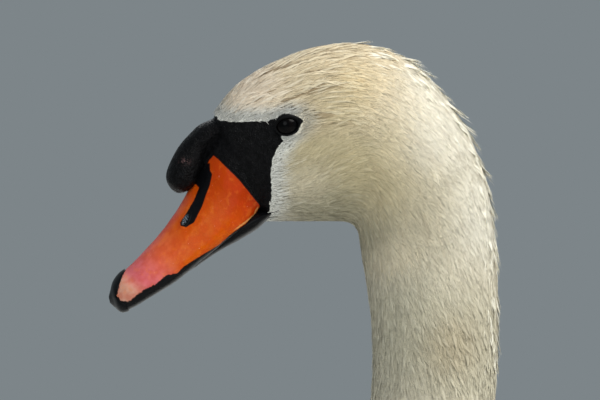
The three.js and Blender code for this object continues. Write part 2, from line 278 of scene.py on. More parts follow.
def seen(points):
    """Points in metres as (y, z) in the plane of symmetry, where the camera sees them."""
    depth = np.abs(points[..., 0])
    closer = 1 + depth / VIEW_DISTANCE
    y = VIEW_TARGET[1] + (points[..., 1] - VIEW_TARGET[1]) * closer
    z = VIEW_TARGET[2] + (points[..., 2] - depth * math.tan(VIEW_TILT) - VIEW_TARGET[2]) * closer
    return np.stack([y, z], -1) / MM


# --- Surfaces ---

# A place on a surface is (t, u): t rows along its table, and u turns round it from the top, leftwards.


def superellipse(u, above, below):
    c, s = np.cos(2 * np.pi * u), np.sin(2 * np.pi * u)
    power = 2 / np.where(c > 0, above, below)
    return np.sign(c) * np.abs(c) ** power, np.sign(s) * np.abs(s) ** power


def across_to(low, high, up):
    """From low to high as up goes from -1 to 1."""
    return (high + low) / 2 + (high - low) / 2 * up


def body_section(row, u):
    upper_y, upper_z, lower_y, lower_z, half, above, below, fullness = np.moveaxis(row, -1, 0)
    up, out = superellipse(u, above, below)
    x = half * out * (1 + fullness * up)
    return np.stack([x, across_to(lower_y, upper_y, up), across_to(lower_z, upper_z, up)], -1) * MM


def knob_section(row, u):
    along, outer, inner, half = np.moveaxis(row, -1, 0)
    up, out = superellipse(u, 2, 2)
    reach = across_to(outer, inner, up)
    y = KNOB_CENTRE[0] + KNOB_AXIS[0] * along + KNOB_AXIS[1] * reach
    z = KNOB_CENTRE[1] + KNOB_AXIS[1] * along - KNOB_AXIS[0] * reach
    return np.stack([half * out, y, z], -1) * MM


def wing_section(row, u):
    y, lower_x, lower_z, upper_x, upper_z, bulge, inward = np.moveaxis(row, -1, 0)
    up, out = superellipse(u, 2, 2.2)
    length = np.hypot(upper_x - lower_x, upper_z - lower_z)
    reach = out * np.where(out > 0, bulge, inward)
    x = across_to(lower_x, upper_x, up) + (upper_z - lower_z) / length * reach
    z = across_to(lower_z, upper_z, up) + (lower_x - upper_x) / length * reach
    return np.stack([x, y + 0 * x, z], -1) * MM


class Surface:
    """A tube of sections, kept as a fine grid so that any place on it can be read back."""

    PER_ROW, AROUND = 40, 480
    SETTLED = 4  # the rounds in which a step finds its end
    FITTING = 0.7  # about how many places a spacing apart fit into a square of that spacing

    def __init__(self, rows, section, side=1, area=(0.01, 0.01, 0.99, 0.99)):
        """area is the surface's own part of the coat's map: its left, bottom, right and top."""
        self.last = len(rows) - 1
        self.side, self.area = side, area
        t = np.linspace(0, self.last, self.last * self.PER_ROW + 1)
        u = np.linspace(0, 1, self.AROUND + 1)
        self.points = section(rows_at(rows, t)[:, None, :], u[None, :])
        self.points[..., 0] *= side
        self.along = np.gradient(self.points, 1 / self.PER_ROW, axis=0)
        ring = self.points[:, :-1]
        turn = (np.roll(ring, -1, 1) - np.roll(ring, 1, 1)) * self.AROUND / 2
        self.round = np.concatenate([turn, turn[:, :1]], 1)
        self.normals = unit(np.cross(self.round, self.along)) * side
        steps = np.linalg.norm(self.along, axis=-1) / self.PER_ROW
        self.travel = (np.cumsum(steps, 0) - steps[:1])[..., None]

    def map_place(self, t, u):
        """The place's own point on the coat's map."""
        left, low, right, high = self.area
        return np.stack([left + (right - left) * np.mod(u, 1), low + (high - low) * t / self.last], -1)

    def read(self, grid, t, u):
        """What one of the surface's grids holds at a place, between its four nearest points."""
        x = np.clip(t, 0, self.last) * self.PER_ROW
        y = np.mod(u, 1) * self.AROUND
        i = np.minimum(x.astype(int), grid.shape[0] - 2)
        j = np.minimum(y.astype(int), self.AROUND - 1)
        fx, fy = (x - i)[..., None], (y - j)[..., None]
        near = grid[i, j] * (1 - fy) + grid[i, j + 1] * fy
        far = grid[i + 1, j] * (1 - fy) + grid[i + 1, j + 1] * fy
        return near * (1 - fx) + far * fx

    def at(self, t, u, height=0.0):
        """The point that lies height above the place. Past the last row the surface runs straight on."""
        rise = np.asarray(height, float)[..., None] * MM
        beyond = np.maximum(t - self.last, 0)[..., None]
        straight = self.read(self.along, t, u) * beyond
        return self.read(self.points, t, u) + straight + self.read(self.normals, t, u) * rise

    def step(self, t, u, heading, forward, sideways):
        """The place that lies forward and sideways of another. A heading of 0 goes along the surface."""
        ahead = (forward * np.cos(heading) - sideways * np.sin(heading)) * MM
        across = (forward * np.sin(heading) + sideways * np.cos(heading)) * MM
        goal = self.read(self.travel, t, u)[..., 0] + ahead
        place = t
        for _ in range(self.SETTLED):
            speed = np.linalg.norm(self.read(self.along, place, u), axis=-1)
            run = self.read(self.travel, place, u)[..., 0] + np.maximum(place - self.last, 0) * speed
            place = np.maximum(place + (goal - run) / speed, 0)
        turn = np.maximum(np.linalg.norm(self.read(self.round, place, u), axis=-1), 2 * MM)
        return place, u + across / turn

    def scatter(self, rng, first, last, spacing, keep=None, crowd=4.0):
        """Places a spacing apart where keep is true. crowd is how many are tried for each that fits."""
        rows = slice(int(first * self.PER_ROW), int(last * self.PER_ROW) + 1)
        t = np.arange(rows.start, rows.stop) / self.PER_ROW
        u = np.arange(self.AROUND) / self.AROUND
        t, u = np.meshgrid(t, u, indexing="ij")
        size = np.linalg.norm(np.cross(self.along[rows, :-1], self.round[rows, :-1]), axis=-1)
        area = size[: t.shape[0]] / self.PER_ROW / self.AROUND / MM**2
        share = (area / value_at(spacing, t) ** 2).ravel()
        total = share.sum()
        pick = rng.choice(share.size, int(total * crowd * self.FITTING), p=share / total)
        t = t.ravel()[pick] + rng.uniform(-0.5, 0.5, pick.size) / self.PER_ROW
        u = np.mod(u.ravel()[pick] + rng.uniform(-0.5, 0.5, pick.size) / self.AROUND, 1)
        if keep is not None:
            kept = keep(t, u)
            t, u = t[kept], u[kept]
        kept = thinned(self.at(t, u), np.broadcast_to(value_at(spacing, t), t.shape) * MM)
        return t[kept], u[kept]


def thinned(points, gaps):
    """Which points to keep so that none is nearer to an earlier one than its gap."""
    tree = KDTree(len(points))
    for i, p in enumerate(points):
        tree.insert(p, i)
    tree.balance()
    alive = np.ones(len(points), bool)
    for i, p in enumerate(points):
        if alive[i]:
            for _, j, _ in tree.find_range(p, gaps[i]):
                if j > i:
                    alive[j] = False
    return alive


def rings(surface, first, last, spacing, steps=4000):
    """Values of t from first to last whose rings lie at most a spacing apart, measured in that many steps."""
    t = np.linspace(first, last, steps)
    along = surface.read(surface.along, t[:, None], np.linspace(0, 1, 16)[None])
    speed = np.linalg.norm(along, axis=-1).max(1)
    count = np.concatenate([[0], np.cumsum(speed[1:] / MM / value_at(spacing, t[1:])) * (t[1] - t[0])])
    return np.interp(np.linspace(0, count[-1], math.ceil(count[-1]) + 1), count, t)


body = Surface(BODY, body_section)
bill = Surface(BILL, body_section)
jaw = Surface(JAW, body_section)
knob = Surface(KNOB, knob_section)
wings = [
    Surface(WING, wing_section, area=(0.01, 0.01, 0.49, 0.99)),
    Surface(WING, wing_section, side=-1, area=(0.51, 0.01, 0.99, 0.99)),
]
tail = Surface(TAIL, body_section, area=(0.01, 0.1, 0.99, 0.99))

# --- Meshes ---


def new_object(name, data):
    made = bpy.data.objects.new(name, data)
    bpy.context.scene.collection.objects.link(made)
    return made


def plain_mesh(name, points, faces):
    """A smooth mesh from arrays, in an object of its own."""
    mesh = bpy.data.meshes.new(name)
    faces = np.asarray(faces)
    mesh.vertices.add(len(points))
    mesh.vertices.foreach_set("co", np.asarray(points, np.float32).ravel())
    mesh.loops.add(faces.size)
    mesh.loops.foreach_set("vertex_index", faces.astype(np.int32).ravel())
    mesh.polygons.add(len(faces))
    mesh.polygons.foreach_set("loop_start", np.arange(0, faces.size, faces.shape[1], dtype=np.int32))
    mesh.polygons.foreach_set("use_smooth", np.full(len(faces), True))
    mesh.update()
    mesh.validate()
    return new_object(name, mesh)


def dress(piece, material, colours=None, values=None):
    """Gives a piece its finish, its colours and values at the vertices, and its place on the body."""
    mesh = piece.data
    if colours is not None:
        layer = mesh.color_attributes.new("coat", "FLOAT_COLOR", "POINT")
        rgba = np.ones((len(mesh.vertices), 4), np.float32)
        rgba[:, :3] = colours
        layer.data.foreach_set("color", rgba.ravel())
    for key, value in (values or {}).items():
        layer = mesh.attributes.new(key, "FLOAT", "POINT")
        layer.data.foreach_set("value", np.asarray(value, np.float32).ravel())
    mesh.materials.clear()
    mesh.materials.append(material)
    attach(piece, "root")


def applied(piece):
    """Makes what a piece's modifiers show its own mesh."""
    made = bpy.data.meshes.new_from_object(piece.evaluated_get(bpy.context.evaluated_depsgraph_get()))
    piece.modifiers.clear()
    piece.data = made
    made.polygons.foreach_set("use_smooth", np.full(len(made.polygons), True))


def joined(base, others):
    """Joins closed pieces into the base, as one closed mesh."""
    for other in others:
        join = base.modifiers.new("join", "BOOLEAN")
        join.operation = "UNION"
        join.solver = "MANIFOLD"
        join.object = other
    applied(base)
    for other in others:
        bpy.data.objects.remove(other)


def vertices_of(piece):
    points = np.empty(len(piece.data.vertices) * 3, np.float32)
    piece.data.vertices.foreach_get("co", points)
    return points.reshape(-1, 3).astype(float)


def set_vertices(piece, points):
    piece.data.vertices.foreach_set("co", points.astype(np.float32).ravel())


def mirrored(points, side):
    return points * np.array([side, 1, 1])


def kept_above(points, lowest=0.0):
    """The points, with none of them lower than this, in metres."""
    return np.concatenate([points[..., :2], np.maximum(points[..., 2:], lowest)], -1)


NO_LIMB = np.array([0.31, 0.2, 0.93])  # a way that no limb follows
CAP_BENDS = np.radians([80, 55, 25])  # where the rings of a rounded end lie


def path_tube(path, radii, around, steps=6):
    """A grid of round rings along a smooth path, each end rounded off. steps is the rings to each point."""
    rows = np.column_stack([np.asarray(path, float), np.asarray(radii, float)])
    line = rows_at(rows, np.linspace(0, len(rows) - 1, (len(rows) - 1) * steps + 1))
    middle, radius = line[:, :3], line[:, 3]
    way = unit(np.gradient(middle, axis=0))
    side_way = unit(np.cross(way, NO_LIMB))
    over = np.cross(side_way, way)
    angle = angles(around)
    rim = np.cos(angle)[None, :, None] * over[:, None] - np.sin(angle)[None, :, None] * side_way[:, None]
    grid = line[:, None, :3] + rim * line[:, None, 3:]

    def cap(end, outwards, bends):
        way_out = outwards * way[end] * radius[end]
        return [middle[end] + way_out * np.sin(a) + rim[end] * radius[end] * np.cos(a) for a in bends]

    return np.concatenate([cap(0, -1, CAP_BENDS), grid, cap(-1, 1, CAP_BENDS[::-1])]) * MM


def ring_quads(count, around, looped=False):
    """The quads of a grid of rings, each round and, when looped, from the last ring to the first too."""
    k, i = np.meshgrid(np.arange(count if looped else count - 1), np.arange(around), indexing="ij")
    j, n = (i + 1) % around, (k + 1) % count
    return np.stack([k * around + i, n * around + i, n * around + j, k * around + j], -1).reshape(-1, 4)


def closed_tube(points, side=1):
    """The points and triangles of a tube through a grid of rings, each end closed on its middle point."""
    count, around = points.shape[:2]
    quads = ring_quads(count, around)[:, ::-1]
    ring = np.arange(around)
    following = (ring + 1) % around
    first, last = count * around, count * around + 1
    base = (count - 1) * around
    tops = np.stack([ring * 0 + first, following, ring], -1)
    bottoms = np.stack([ring * 0 + last, base + ring, base + following], -1)
    triangles = np.concatenate([quads[:, [0, 1, 2]], quads[:, [0, 2, 3]], tops, bottoms])
    ends = np.array([points[0].mean(0), points[-1].mean(0)])
    return np.concatenate([points.reshape(-1, 3), ends]), triangles[:, ::side]


def lofted(surface, first, last, gap, around, height):
    """The points and triangles of a closed tube on a surface, raised by height(t, u)."""
    t = rings(surface, first, last, gap)
    grid_t, grid_u = np.meshgrid(t, np.arange(around) / around, indexing="ij")
    return closed_tube(surface.at(grid_t, grid_u, height(grid_t, grid_u)), surface.side)


# --- Materials ---


class Shader:
    """A material's node tree, with short calls to add nodes and join them."""

    def __init__(self, name, **sockets):
        self.material = bpy.data.materials.new(name)
        self.material.use_nodes = True
        self.tree = self.material.node_tree
        self.surface = self.tree.nodes["Principled BSDF"]
        self.place = self.node("TexCoord").outputs["Object"]
        for key, value in sockets.items():
            self.set(key.replace("_", " "), value)

    def join(self, value, socket):
        """Feeds a socket from another one, or sets it to a number or a colour."""
        if isinstance(value, bpy.types.NodeSocket):
            self.tree.links.new(value, socket)
        else:
            socket.default_value = (*value, 1) if isinstance(value, np.ndarray) else value

    def set(self, key, value):
        self.join(value, self.surface.inputs[key])

    def node(self, kind, *values, **settings):
        """A new node with these settings, whose first inputs take the values."""
        node = self.tree.nodes.new("ShaderNode" + kind)
        for key, value in settings.items():
            setattr(node, key, value)
        for value, socket in zip(values, node.inputs):
            self.join(value, socket)
        return node

    def attribute(self, name, output="Fac"):
        return self.node("Attribute", attribute_name=name).outputs[output]

    def noise(self, size, detail=3.0):
        """Noise from 0 to 1 whose patches are about the size across."""
        node = self.node("TexNoise", self.place)
        node.inputs["Scale"].default_value = 1 / (size * MM)
        node.inputs["Detail"].default_value = detail
        return node.outputs["Fac"]

    def math(self, operation, a, b=0.0):
        return self.node("Math", a, b, operation=operation).outputs[0]

    def ramp(self, value, low, high, out_low=0.0, out_high=1.0):
        limits = (value, low, high, out_low, out_high)
        return self.node("MapRange", *limits, interpolation_type="SMOOTHSTEP").outputs[0]

    def mix(self, factor, a, b, mode="MIX"):
        node = self.node("Mix", factor, data_type="RGBA", blend_type=mode)
        self.join(a, node.inputs[6])
        self.join(b, node.inputs[7])
        return node.outputs[2]

    def bump(self, height, distance, strength=1.0):
        """Relief from a height of 0 to 1 that is the distance deep."""
        node = self.node("Bump", strength, distance * MM)
        self.join(height, node.inputs["Height"])
        self.set("Normal", node.outputs["Normal"])


def feather_material():
    """Barbed vanes in the coat's own colours."""
    s = Shader("feathers", Roughness=0.75, Sheen_Weight=0.15, Sheen_Roughness=0.5, Specular_IOR_Level=0.25)
    tone = s.ramp(s.noise(2.2), 0.3, 0.7, 0.93, 1.0)
    grey = s.node("CombineColor", tone, tone, tone).outputs[0]
    s.set("Base Color", s.mix(1.0, s.attribute("coat", "Color"), grey, "MULTIPLY"))
    barbs = s.math("SINE", s.math("MULTIPLY", s.attribute("barb"), 2 * math.pi))
    s.bump(s.math("ADD", barbs, s.noise(0.6)), 0.05)
    return s.material


def skin_material():
    """Down under the coat, and bare black skin in the mask."""
    s = Shader("skin", Specular_IOR_Level=0.09)
    bare = s.ramp(s.attribute("bare"), -0.3, 0.2)
    black = s.mix(s.ramp(s.noise(2.2, 5), 0.35, 0.65), paint(2, 2, 3), paint(13, 13, 15))
    # a pinkish patch on the knob, broken up by noise
    pink_patch = s.math("MULTIPLY", s.attribute("pink_patch"), s.ramp(s.noise(1.0, 2), 0.46, 0.6))
    black = s.mix(pink_patch, black, paint(92, 70, 70))
    s.set("Base Color", s.mix(bare, s.attribute("coat", "Color"), black))
    gloss = s.ramp(s.noise(2.5), 0.35, 0.65, 0.32, 0.5)
    s.set("Roughness", s.math("MAXIMUM", gloss, s.ramp(bare, 1, 0, 0.0, 0.9)))
    fine = s.math("MULTIPLY", s.noise(0.7, 2), 1.6)
    s.bump(s.math("ADD", fine, s.math("MULTIPLY", s.noise(3.0, 4), 2.2)), 0.55)
    return s.material


def bill_material():
    """Orange horn with a paler rim, painted as a highlight, whose edge against the black skin follows the
    orange attribute.
    """
    s = Shader("bill_horn", Specular_IOR_Level=0.12)
    ragged = s.math("MULTIPLY", s.math("SUBTRACT", s.noise(1.6, 4), 0.5), s.attribute("ragged"))
    edge = s.math("ADD", s.attribute("orange"), ragged)
    red_mottle = s.ramp(s.noise(6, 5), 0.38, 0.62, 0, 0.4)
    horn = s.mix(red_mottle, s.attribute("coat", "Color"), paint(200, 58, 14))
    pale_mottle = s.ramp(s.noise(3.5, 4), 0.52, 0.68, 0, 0.25)
    horn = s.mix(pale_mottle, horn, paint(238, 124, 36))
    speck = s.ramp(s.noise(1.1, 1), 0.74, 0.8, 0, 0.45)
    horn = s.mix(speck, horn, paint(236, 170, 140))
    # Painted highlight: a pale band just inside the back of the orange's lower edge
    rim = s.math("MULTIPLY", s.ramp(edge, 0.1, 0.5), s.ramp(edge, 1.3, 0.6))
    horn = s.mix(s.math("MULTIPLY", rim, s.attribute("rim")), horn, paint(240, 168, 96))
    black = s.mix(s.noise(4), paint(6, 6, 8), paint(14, 14, 17))
    # Painted highlight: pale blue-grey glints inside the nostril, where the wet horn reflects the light
    nostril_glint = s.math("MULTIPLY", s.attribute("nostril_glint"), s.ramp(s.noise(0.5, 1), 0.45, 0.6))
    black = s.mix(nostril_glint, black, paint(128, 140, 152))
    s.set("Base Color", s.mix(s.ramp(edge, -0.28, 0.28), black, horn))
    s.set("Roughness", s.ramp(s.noise(3), 0.3, 0.7, 0.3, 0.42))
    s.bump(s.math("ADD", s.noise(1.0, 3), s.math("MULTIPLY", s.noise(5, 2), 2.0)), 0.12, 0.5)
    return s.material


def horn_material(name, dark, light, roughness):
    s = Shader(name, Roughness=roughness, Specular_IOR_Level=0.09)
    s.set("Base Color", s.mix(s.noise(3), dark, light))
    s.bump(s.noise(1.2, 3), 0.08, 0.5)
    return s.material


def eye_material():
    s = Shader("eye", Roughness=0.16, IOR=1.35, Specular_IOR_Level=0.12)
    s.set("Base Color", s.attribute("coat", "Color"))
    return s.material


def foot_material():
    """Dark grey skin with net-like scales."""
    s = Shader("foot_skin", Roughness=0.5, Specular_IOR_Level=0.45)
    scales = s.node("TexVoronoi", s.place)
    scales.inputs["Scale"].default_value = 1 / (2.4 * MM)
    plate = s.ramp(scales.outputs["Distance"], 0.1, 0.55)
    tint = s.mix(s.noise(12, 3), paint(38, 37, 37), paint(62, 59, 55))
    s.set("Base Color", s.mix(plate, tint, paint(24, 23, 24)))
    s.bump(s.math("SUBTRACT", 1.0, plate), 0.3, 0.8)
    return s.material


def floor_material():
    s = Shader("floor", Roughness=0.9)
    s.set("Base Color", s.mix(s.noise(300), paint(205, 205, 202), paint(214, 214, 211)))
    return s.material


# --- Colours of the plumage ---

WHITE = paint(226, 225, 217)
NECK = paint(226, 217, 193)
NAPE = paint(248, 244, 228)
CROWN = paint(241, 221, 181)
FOREHEAD = paint(255, 236, 212)
CHEEK = paint(208, 192, 148)
EAR = paint(214, 200, 163)
FRINGE = paint(244, 243, 234)
# Painted shade: a darker olive under the jaw and over the throat
THROAT_SHADE = paint(160, 154, 126)
THROAT_SIDE = paint(196, 190, 164)
LOW_CHEEK = paint(234, 221, 190)
TEMPLE = paint(246, 220, 160)
NECK_SIDE = paint(198, 188, 160)
NECK_TAN = paint(180, 165, 134)
# the brown of the crown's stain, also painted into the furrows as shade
STAIN_AND_FURROW_SHADE = paint(162, 138, 104)
# Places of these colours: (y, z), how far they reach, and their strength
SPOTS = [
    ((-392, 775), 12, FOREHEAD, 1.8),
    ((-360, 786), 26, CROWN, 1.6),
    ((-325, 780), 24, CROWN, 1.2),
    ((-350, 768), 10, CHEEK, 1.8),
    ((-364, 744), 11, CHEEK, 1.4),
    ((-345, 740), 16, CHEEK, 1.8),
    ((-325, 757), 10, EAR, 1.6),
    ((-330, 730), 18, CHEEK, 1.2),
    ((-300, 772), 22, NAPE, 1.6),
    # the nape's upper rim: its own whiter colour, brightened further as painted light against the shade of
    # the raised tufts
    ((-304, 789), 11, NAPE, 2.6),
    ((-275, 720), 18, NAPE, 1.2),
    # painted shade under the jaw
    ((-350, 714), 12, THROAT_SHADE, 1.7),
    ((-365, 716), 7, THROAT_SHADE, 1.0),
    ((-332, 706), 10, THROAT_SHADE, 1.2),
    ((-362, 728), 9, LOW_CHEEK, 1.6),
    ((-343, 780), 9, TEMPLE, 1.3),
    ((-302, 718), 17, NECK_SIDE, 1.3),
    ((-290, 652), 12, NECK_TAN, 1.7),
    ((-321, 698), 9, LOW_CHEEK, 1.8),
    ((-322, 660), 26, THROAT_SIDE, 0.9),
    ((-268, 645), 26, THROAT_SIDE, 0.8),
]


def plumage(points):
    """The coat's colour at points of the head, neck or body."""
    p = seen(points)
    weight = np.full(p.shape[:-1], 0.35)
    total = NECK * weight[..., None]
    for centre, reach, colour, strength in SPOTS:
        w = strength * np.exp(-np.sum((p - centre) ** 2, -1) / reach**2)
        weight = weight + w
        total = total + colour * w[..., None]
    colour = total / weight[..., None]
    near_mask = 1 - ramp(-outline_distance(p, MASK), 2, 9)
    colour = blend(colour, FRINGE, near_mask * (1 - 0.55 * ramp(p[..., 0], -371, -362)))
    mottle = 0.07 * noise(points / MM / 7, PLUMAGE_PATCHES) + 0.05 * noise(points / MM / 2.5, PLUMAGE_FLECKS)
    colour = colour * (1 + mottle)[..., None]
    return blend(colour, WHITE, 1 - ramp(points[..., 2], 0.42, 0.6))


def varied(rng, colours, n, spread):
    """The colour, or each of n colours, a little lighter or darker for each of n feathers."""
    return np.broadcast_to(colours, (n, 3)) * (1 + spread * rng.normal(0, 1, n))[:, None]


# --- The coat ---

# Every feather is a flat outline laid on a surface. A point of it is s along from the root, 0 to 1, and c
# across, -1 to 1. A height or tone is a function of s, c and how many feathers there are.
PATCH = 0.003  # a feather's size on the OFBake map


def vane_width(s, slimness):
    """How wide a contour feather is at s: narrow at the root, then full, with a round tip."""
    tip = 0.62 / slimness
    taper = np.clip((s - 1 + tip) / tip, 0, 1) ** 2
    return (0.5 + 0.5 * ramp(s, 0, 0.4)) * np.sqrt(1 - 0.96 * taper)


class Tuft:
    """A small pointed feather: the places of its points, and its faces."""

    def __init__(self, points, faces):
        self.s, self.c = np.array(points, float).T[:, None, :]
        self.faces = np.array(faces)

    def width(self, slimness):
        return 1 - 0.15 * self.s

    def barbs(self, forward, sideways):
        """Counts the barbs along the tuft."""
        return sideways * 3.0

    def spread(self, n, length, width):
        """How far forward and sideways the points of n feathers lie from their roots."""
        tall, wide = column(length, n), column(width, n)
        return self.s * tall, self.c * wide / 2 * self.width(tall / wide)


class Vane(Tuft):
    """A contour feather: rows of points at these places from its root to its round tip."""

    def __init__(self, places, across):
        s, c = np.meshgrid(places, np.linspace(-1, 1, across), indexing="ij")
        faces = []
        for k in range(len(places) - 1):
            for i in range(across - 1):
                a, b = k * across + i, k * across + i + 1
                faces += [(a, b, a + across), (b, b + across, a + across)]
        super().__init__(np.stack([s.ravel(), c.ravel()], -1), faces)

    def width(self, slimness):
        return vane_width(self.s, slimness)

    def barbs(self, forward, sideways):
        """Counts the barbs aslant on both sides of the shaft."""
        return np.abs(sideways) * 1.1 - forward * 0.9


TUFT = Tuft(
    [(0, -1), (0, 0), (0, 1), (0.55, -0.85), (0.5, 0), (0.55, 0.85), (1, 0)],
    [(0, 1, 4), (0, 4, 3), (1, 2, 5), (1, 5, 4), (3, 4, 6), (4, 5, 6)],
)
STRAND = Tuft([(0, -1), (0, 1), (0.6, -0.8), (0.6, 0.8), (1, 0)], [(0, 1, 2), (1, 3, 2), (2, 3, 4)])
VANE = Vane([0, 0.35, 0.62, 0.8, 0.93, 1], 5)
COVERT = Vane([0, 0.25, 0.45, 0.6, 0.7, 0.79, 0.87, 0.93, 0.975, 1], 7)
QUILL = Vane([0, *np.linspace(0.08, 0.8, 10), 0.86, 0.91, 0.95, 0.98, 1], 7)


def lift_of(n):
    """A steady spread of small lifts from -1 to 1, one for each feather."""
    return lattice(np.arange(n), np.zeros(n, int), np.zeros(n, int), RUFFLES)[:, None] * 2 - 1


def vane_tone(s, c, n):
    """Vanes are painted a little darker, as shade, where another covers them and along the edges."""
    return (1 + 0.025 * lift_of(n)) * (0.9 + 0.12 * ramp(s, 0.15, 0.9)) * (1 - 0.03 * np.abs(c))


def shingle(low, high, ridge, droop, ruffle, tilt=0.0):
    """A vane's rise, low at its root and high at its tip, with a proud shaft and edges that droop or tilt."""

    def height(s, c, n):
        rise = low + (high - low) * s**0.8 + ridge * np.exp(-((c * 5) ** 2)) - droop * c * c * s
        return rise + ruffle * (lift_of(n) * s) + tilt * c * ramp(s, 0.35, 0.6)

    return height


class Coat:
    """Collects the feathers that grow on surfaces, and makes them into pieces."""

    LIMIT = 190_000  # triangles a piece

    def __init__(self, name, material, slot):
        self.name, self.material, self.slot = name, material, slot
        self.points, self.faces, self.colours, self.patches, self.barbs = [], [], [], [], []
        self.count = 0

    def grow(self, surface, t, u, shape, length, width, height, colour, heading=0, bend=0, tone=vane_tone):
        """Grows a feather at each place, its points raised by height(s, c, n) and shaded by tone(s, c, n)."""
        n = len(t)
        turn = column(heading, n) + column(bend, n) * shape.s
        forward, sideways = shape.spread(n, length, width)
        roots = (place[:, None] + 0 * shape.s for place in (t, u))
        places = surface.step(*roots, turn, forward, sideways)
        points = surface.at(*places, height(shape.s, shape.c, n))
        faces = shape.faces[:, :: surface.side]
        self.keep(shape, points, faces, surface.map_place(t, u), forward, sideways, colour, tone)

    def lay(self, root, place, way, over, shape, length, width, ridge, camber, colour):
        """Lays straight feathers from their roots along way, with their upper faces towards over."""
        n = len(root)
        forward, sideways = shape.spread(n, length, width)
        way = unit(way)
        across = unit(np.cross(way, over))
        up = np.cross(across, way)
        rise = ridge * np.exp(-((shape.c * 5) ** 2)) * (1 - 0.7 * shape.s) - camber * shape.c * shape.c
        points = root[:, None, :]
        for direction, distance in ((way, forward), (across, sideways), (up, rise)):
            points = points + direction[:, None, :] * distance[..., None]
        self.keep(shape, points * MM, shape.faces, place, forward, sideways, colour, vane_tone)

    def keep(self, shape, points, faces, place, forward, sideways, colour, tone):
        """Adds feathers to the coat. place is where each one's patch lies on the OFBake map."""
        n, size = points.shape[:2]
        colours = colour[:, None, :] * tone(shape.s, shape.c, n)[..., None]
        patch = np.stack([shape.c * 0.5, shape.s], -1) * PATCH
        first = self.count + np.arange(n) * size
        self.points.append(kept_above(points).reshape(-1, 3))
        self.colours.append(colours.reshape(-1, 3))
        self.patches.append((place[:, None, :] + patch).reshape(-1, 2))
        self.barbs.append(shape.barbs(forward, sideways).ravel())
        self.faces.append((faces[None] + first[:, None, None]).reshape(-1, 3))
        self.count += n * size

    def make(self):
        """Makes the pieces, split so that each stays small enough."""
        points, faces = np.concatenate(self.points), np.concatenate(self.faces)
        colours, patches = np.concatenate(self.colours), np.concatenate(self.patches)
        barbs = np.concatenate(self.barbs)
        parts = math.ceil(len(faces) / self.LIMIT)
        for number, chosen in enumerate(np.array_split(faces, parts)):
            used, where = np.unique(chosen, return_inverse=True)
            name = f"{self.name}_{number + 1}" if parts > 1 else self.name
            piece = plain_mesh(name, points[used], where.reshape(-1, 3))
            layer = piece.data.uv_layers.new(name="OFBake")
            layer.data.foreach_set("uv", patches[chosen].astype(np.float32).ravel())
            dress(piece, self.material, colours[used], {"barb": barbs[used]})


# --- Skin ---

# Along the body t is the number of a row of BODY: the head ends at about 5, the neck at about 15.


def neck_share(t):
    """0 on the head and 1 on the neck."""
    return ramp(t, 6.5, 10)


def middle_share(t):
    """0 above the middle of the neck and 1 below it."""
    return ramp(t, 8, 12)


def breast_share(t):
    """0 on the neck and 1 on the breast."""
    return ramp(t, 12, 15.5)


KNOB_PINK_PATCH = (-422.5, 741.0)  # the middle of a pinkish patch on the knob, as the camera sees it
PINK_PATCH_SIZE = (2.4, 1.4)
THIGH_PATH = [(92, 92, 70), (91, 125, 43), (90, 158, 16)]
THIGH_RADII = [36, 24, 12]
EYE_OPENING = (6.2, 4.9)  # half its length and half its height
BLACK_SMOOTHING = 16  # times over
WING_SKIN = (0.15, 11.9)  # the rows of WING where it starts and ends
DOWN_SHADE = 0.9  # how light the down is, beside the feathers over it
LOWEST_SKIN = 0.5


def mask_distance(points):
    """How far inside the bare black skin of the face the points are. Its edge is a little ragged."""
    return outline_distance(seen(points), MASK) + 0.45 * noise(points / MM / 1.4, RAGGED_MASK)


def eye_distance(points):
    """0 at the middle of the eye's opening and 1 at its edge."""
    y = points[..., 1] / MM - EYE_AT[1]
    z = points[..., 2] / MM - EYE_AT[2]
    return np.hypot(y / EYE_OPENING[0], z / EYE_OPENING[1])


def coat_depth(t):
    """How far the skin lies under the top of the coat."""
    return 1.1 + 1.4 * middle_share(t) + 1.5 * ramp(t, 13, 17)


def skin_gap(t):
    """How far apart the skin's rings are."""
    return 0.8 + 1.2 * ramp(t, 5, 8) + 4 * ramp(t, 12, 15)


def skin_height(t, u):
    points = body.at(t, u)
    bare = mask_distance(points)
    rise = -coat_depth(t) * ramp(-bare, -0.5, 3.5)
    wrinkle = 0.15 * noise(points / MM / 2.5, WRINKLES) * ramp(bare, 0.5, 4)
    socket = -3.2 * ramp(-eye_distance(points), -1.0, -0.8)
    under_bill = -2.2 * (1 - ramp(t, 0, 0.3))
    return rise + wrinkle + socket + under_bill


def wing_skin_height(t, u):
    """Under the wing's feathers, but never past its own middle."""
    bulge = rows_at(WING, t)[..., 5]
    return -np.minimum(2.5, 0.5 * bulge)


def tail_skin_height(t, u):
    return -3 - t


def knob_height(t, u):
    points = knob.at(t, u)
    return 0.3 * noise(points / MM / 6, KNOB_WAVES) + 0.12 * noise(points / MM / 2, KNOB_GRAIN)


def sleeve_height(t, u):
    """Black skin that runs from the face over the base of the bill as far as the orange."""
    orange = outline_distance(seen(bill.at(t, u)), ORANGE)
    return 0.35 - 2.6 * ramp(orange, -0.7, 0.2) - 2.6 * ramp(bill.last - t, 1.7, 2.0)


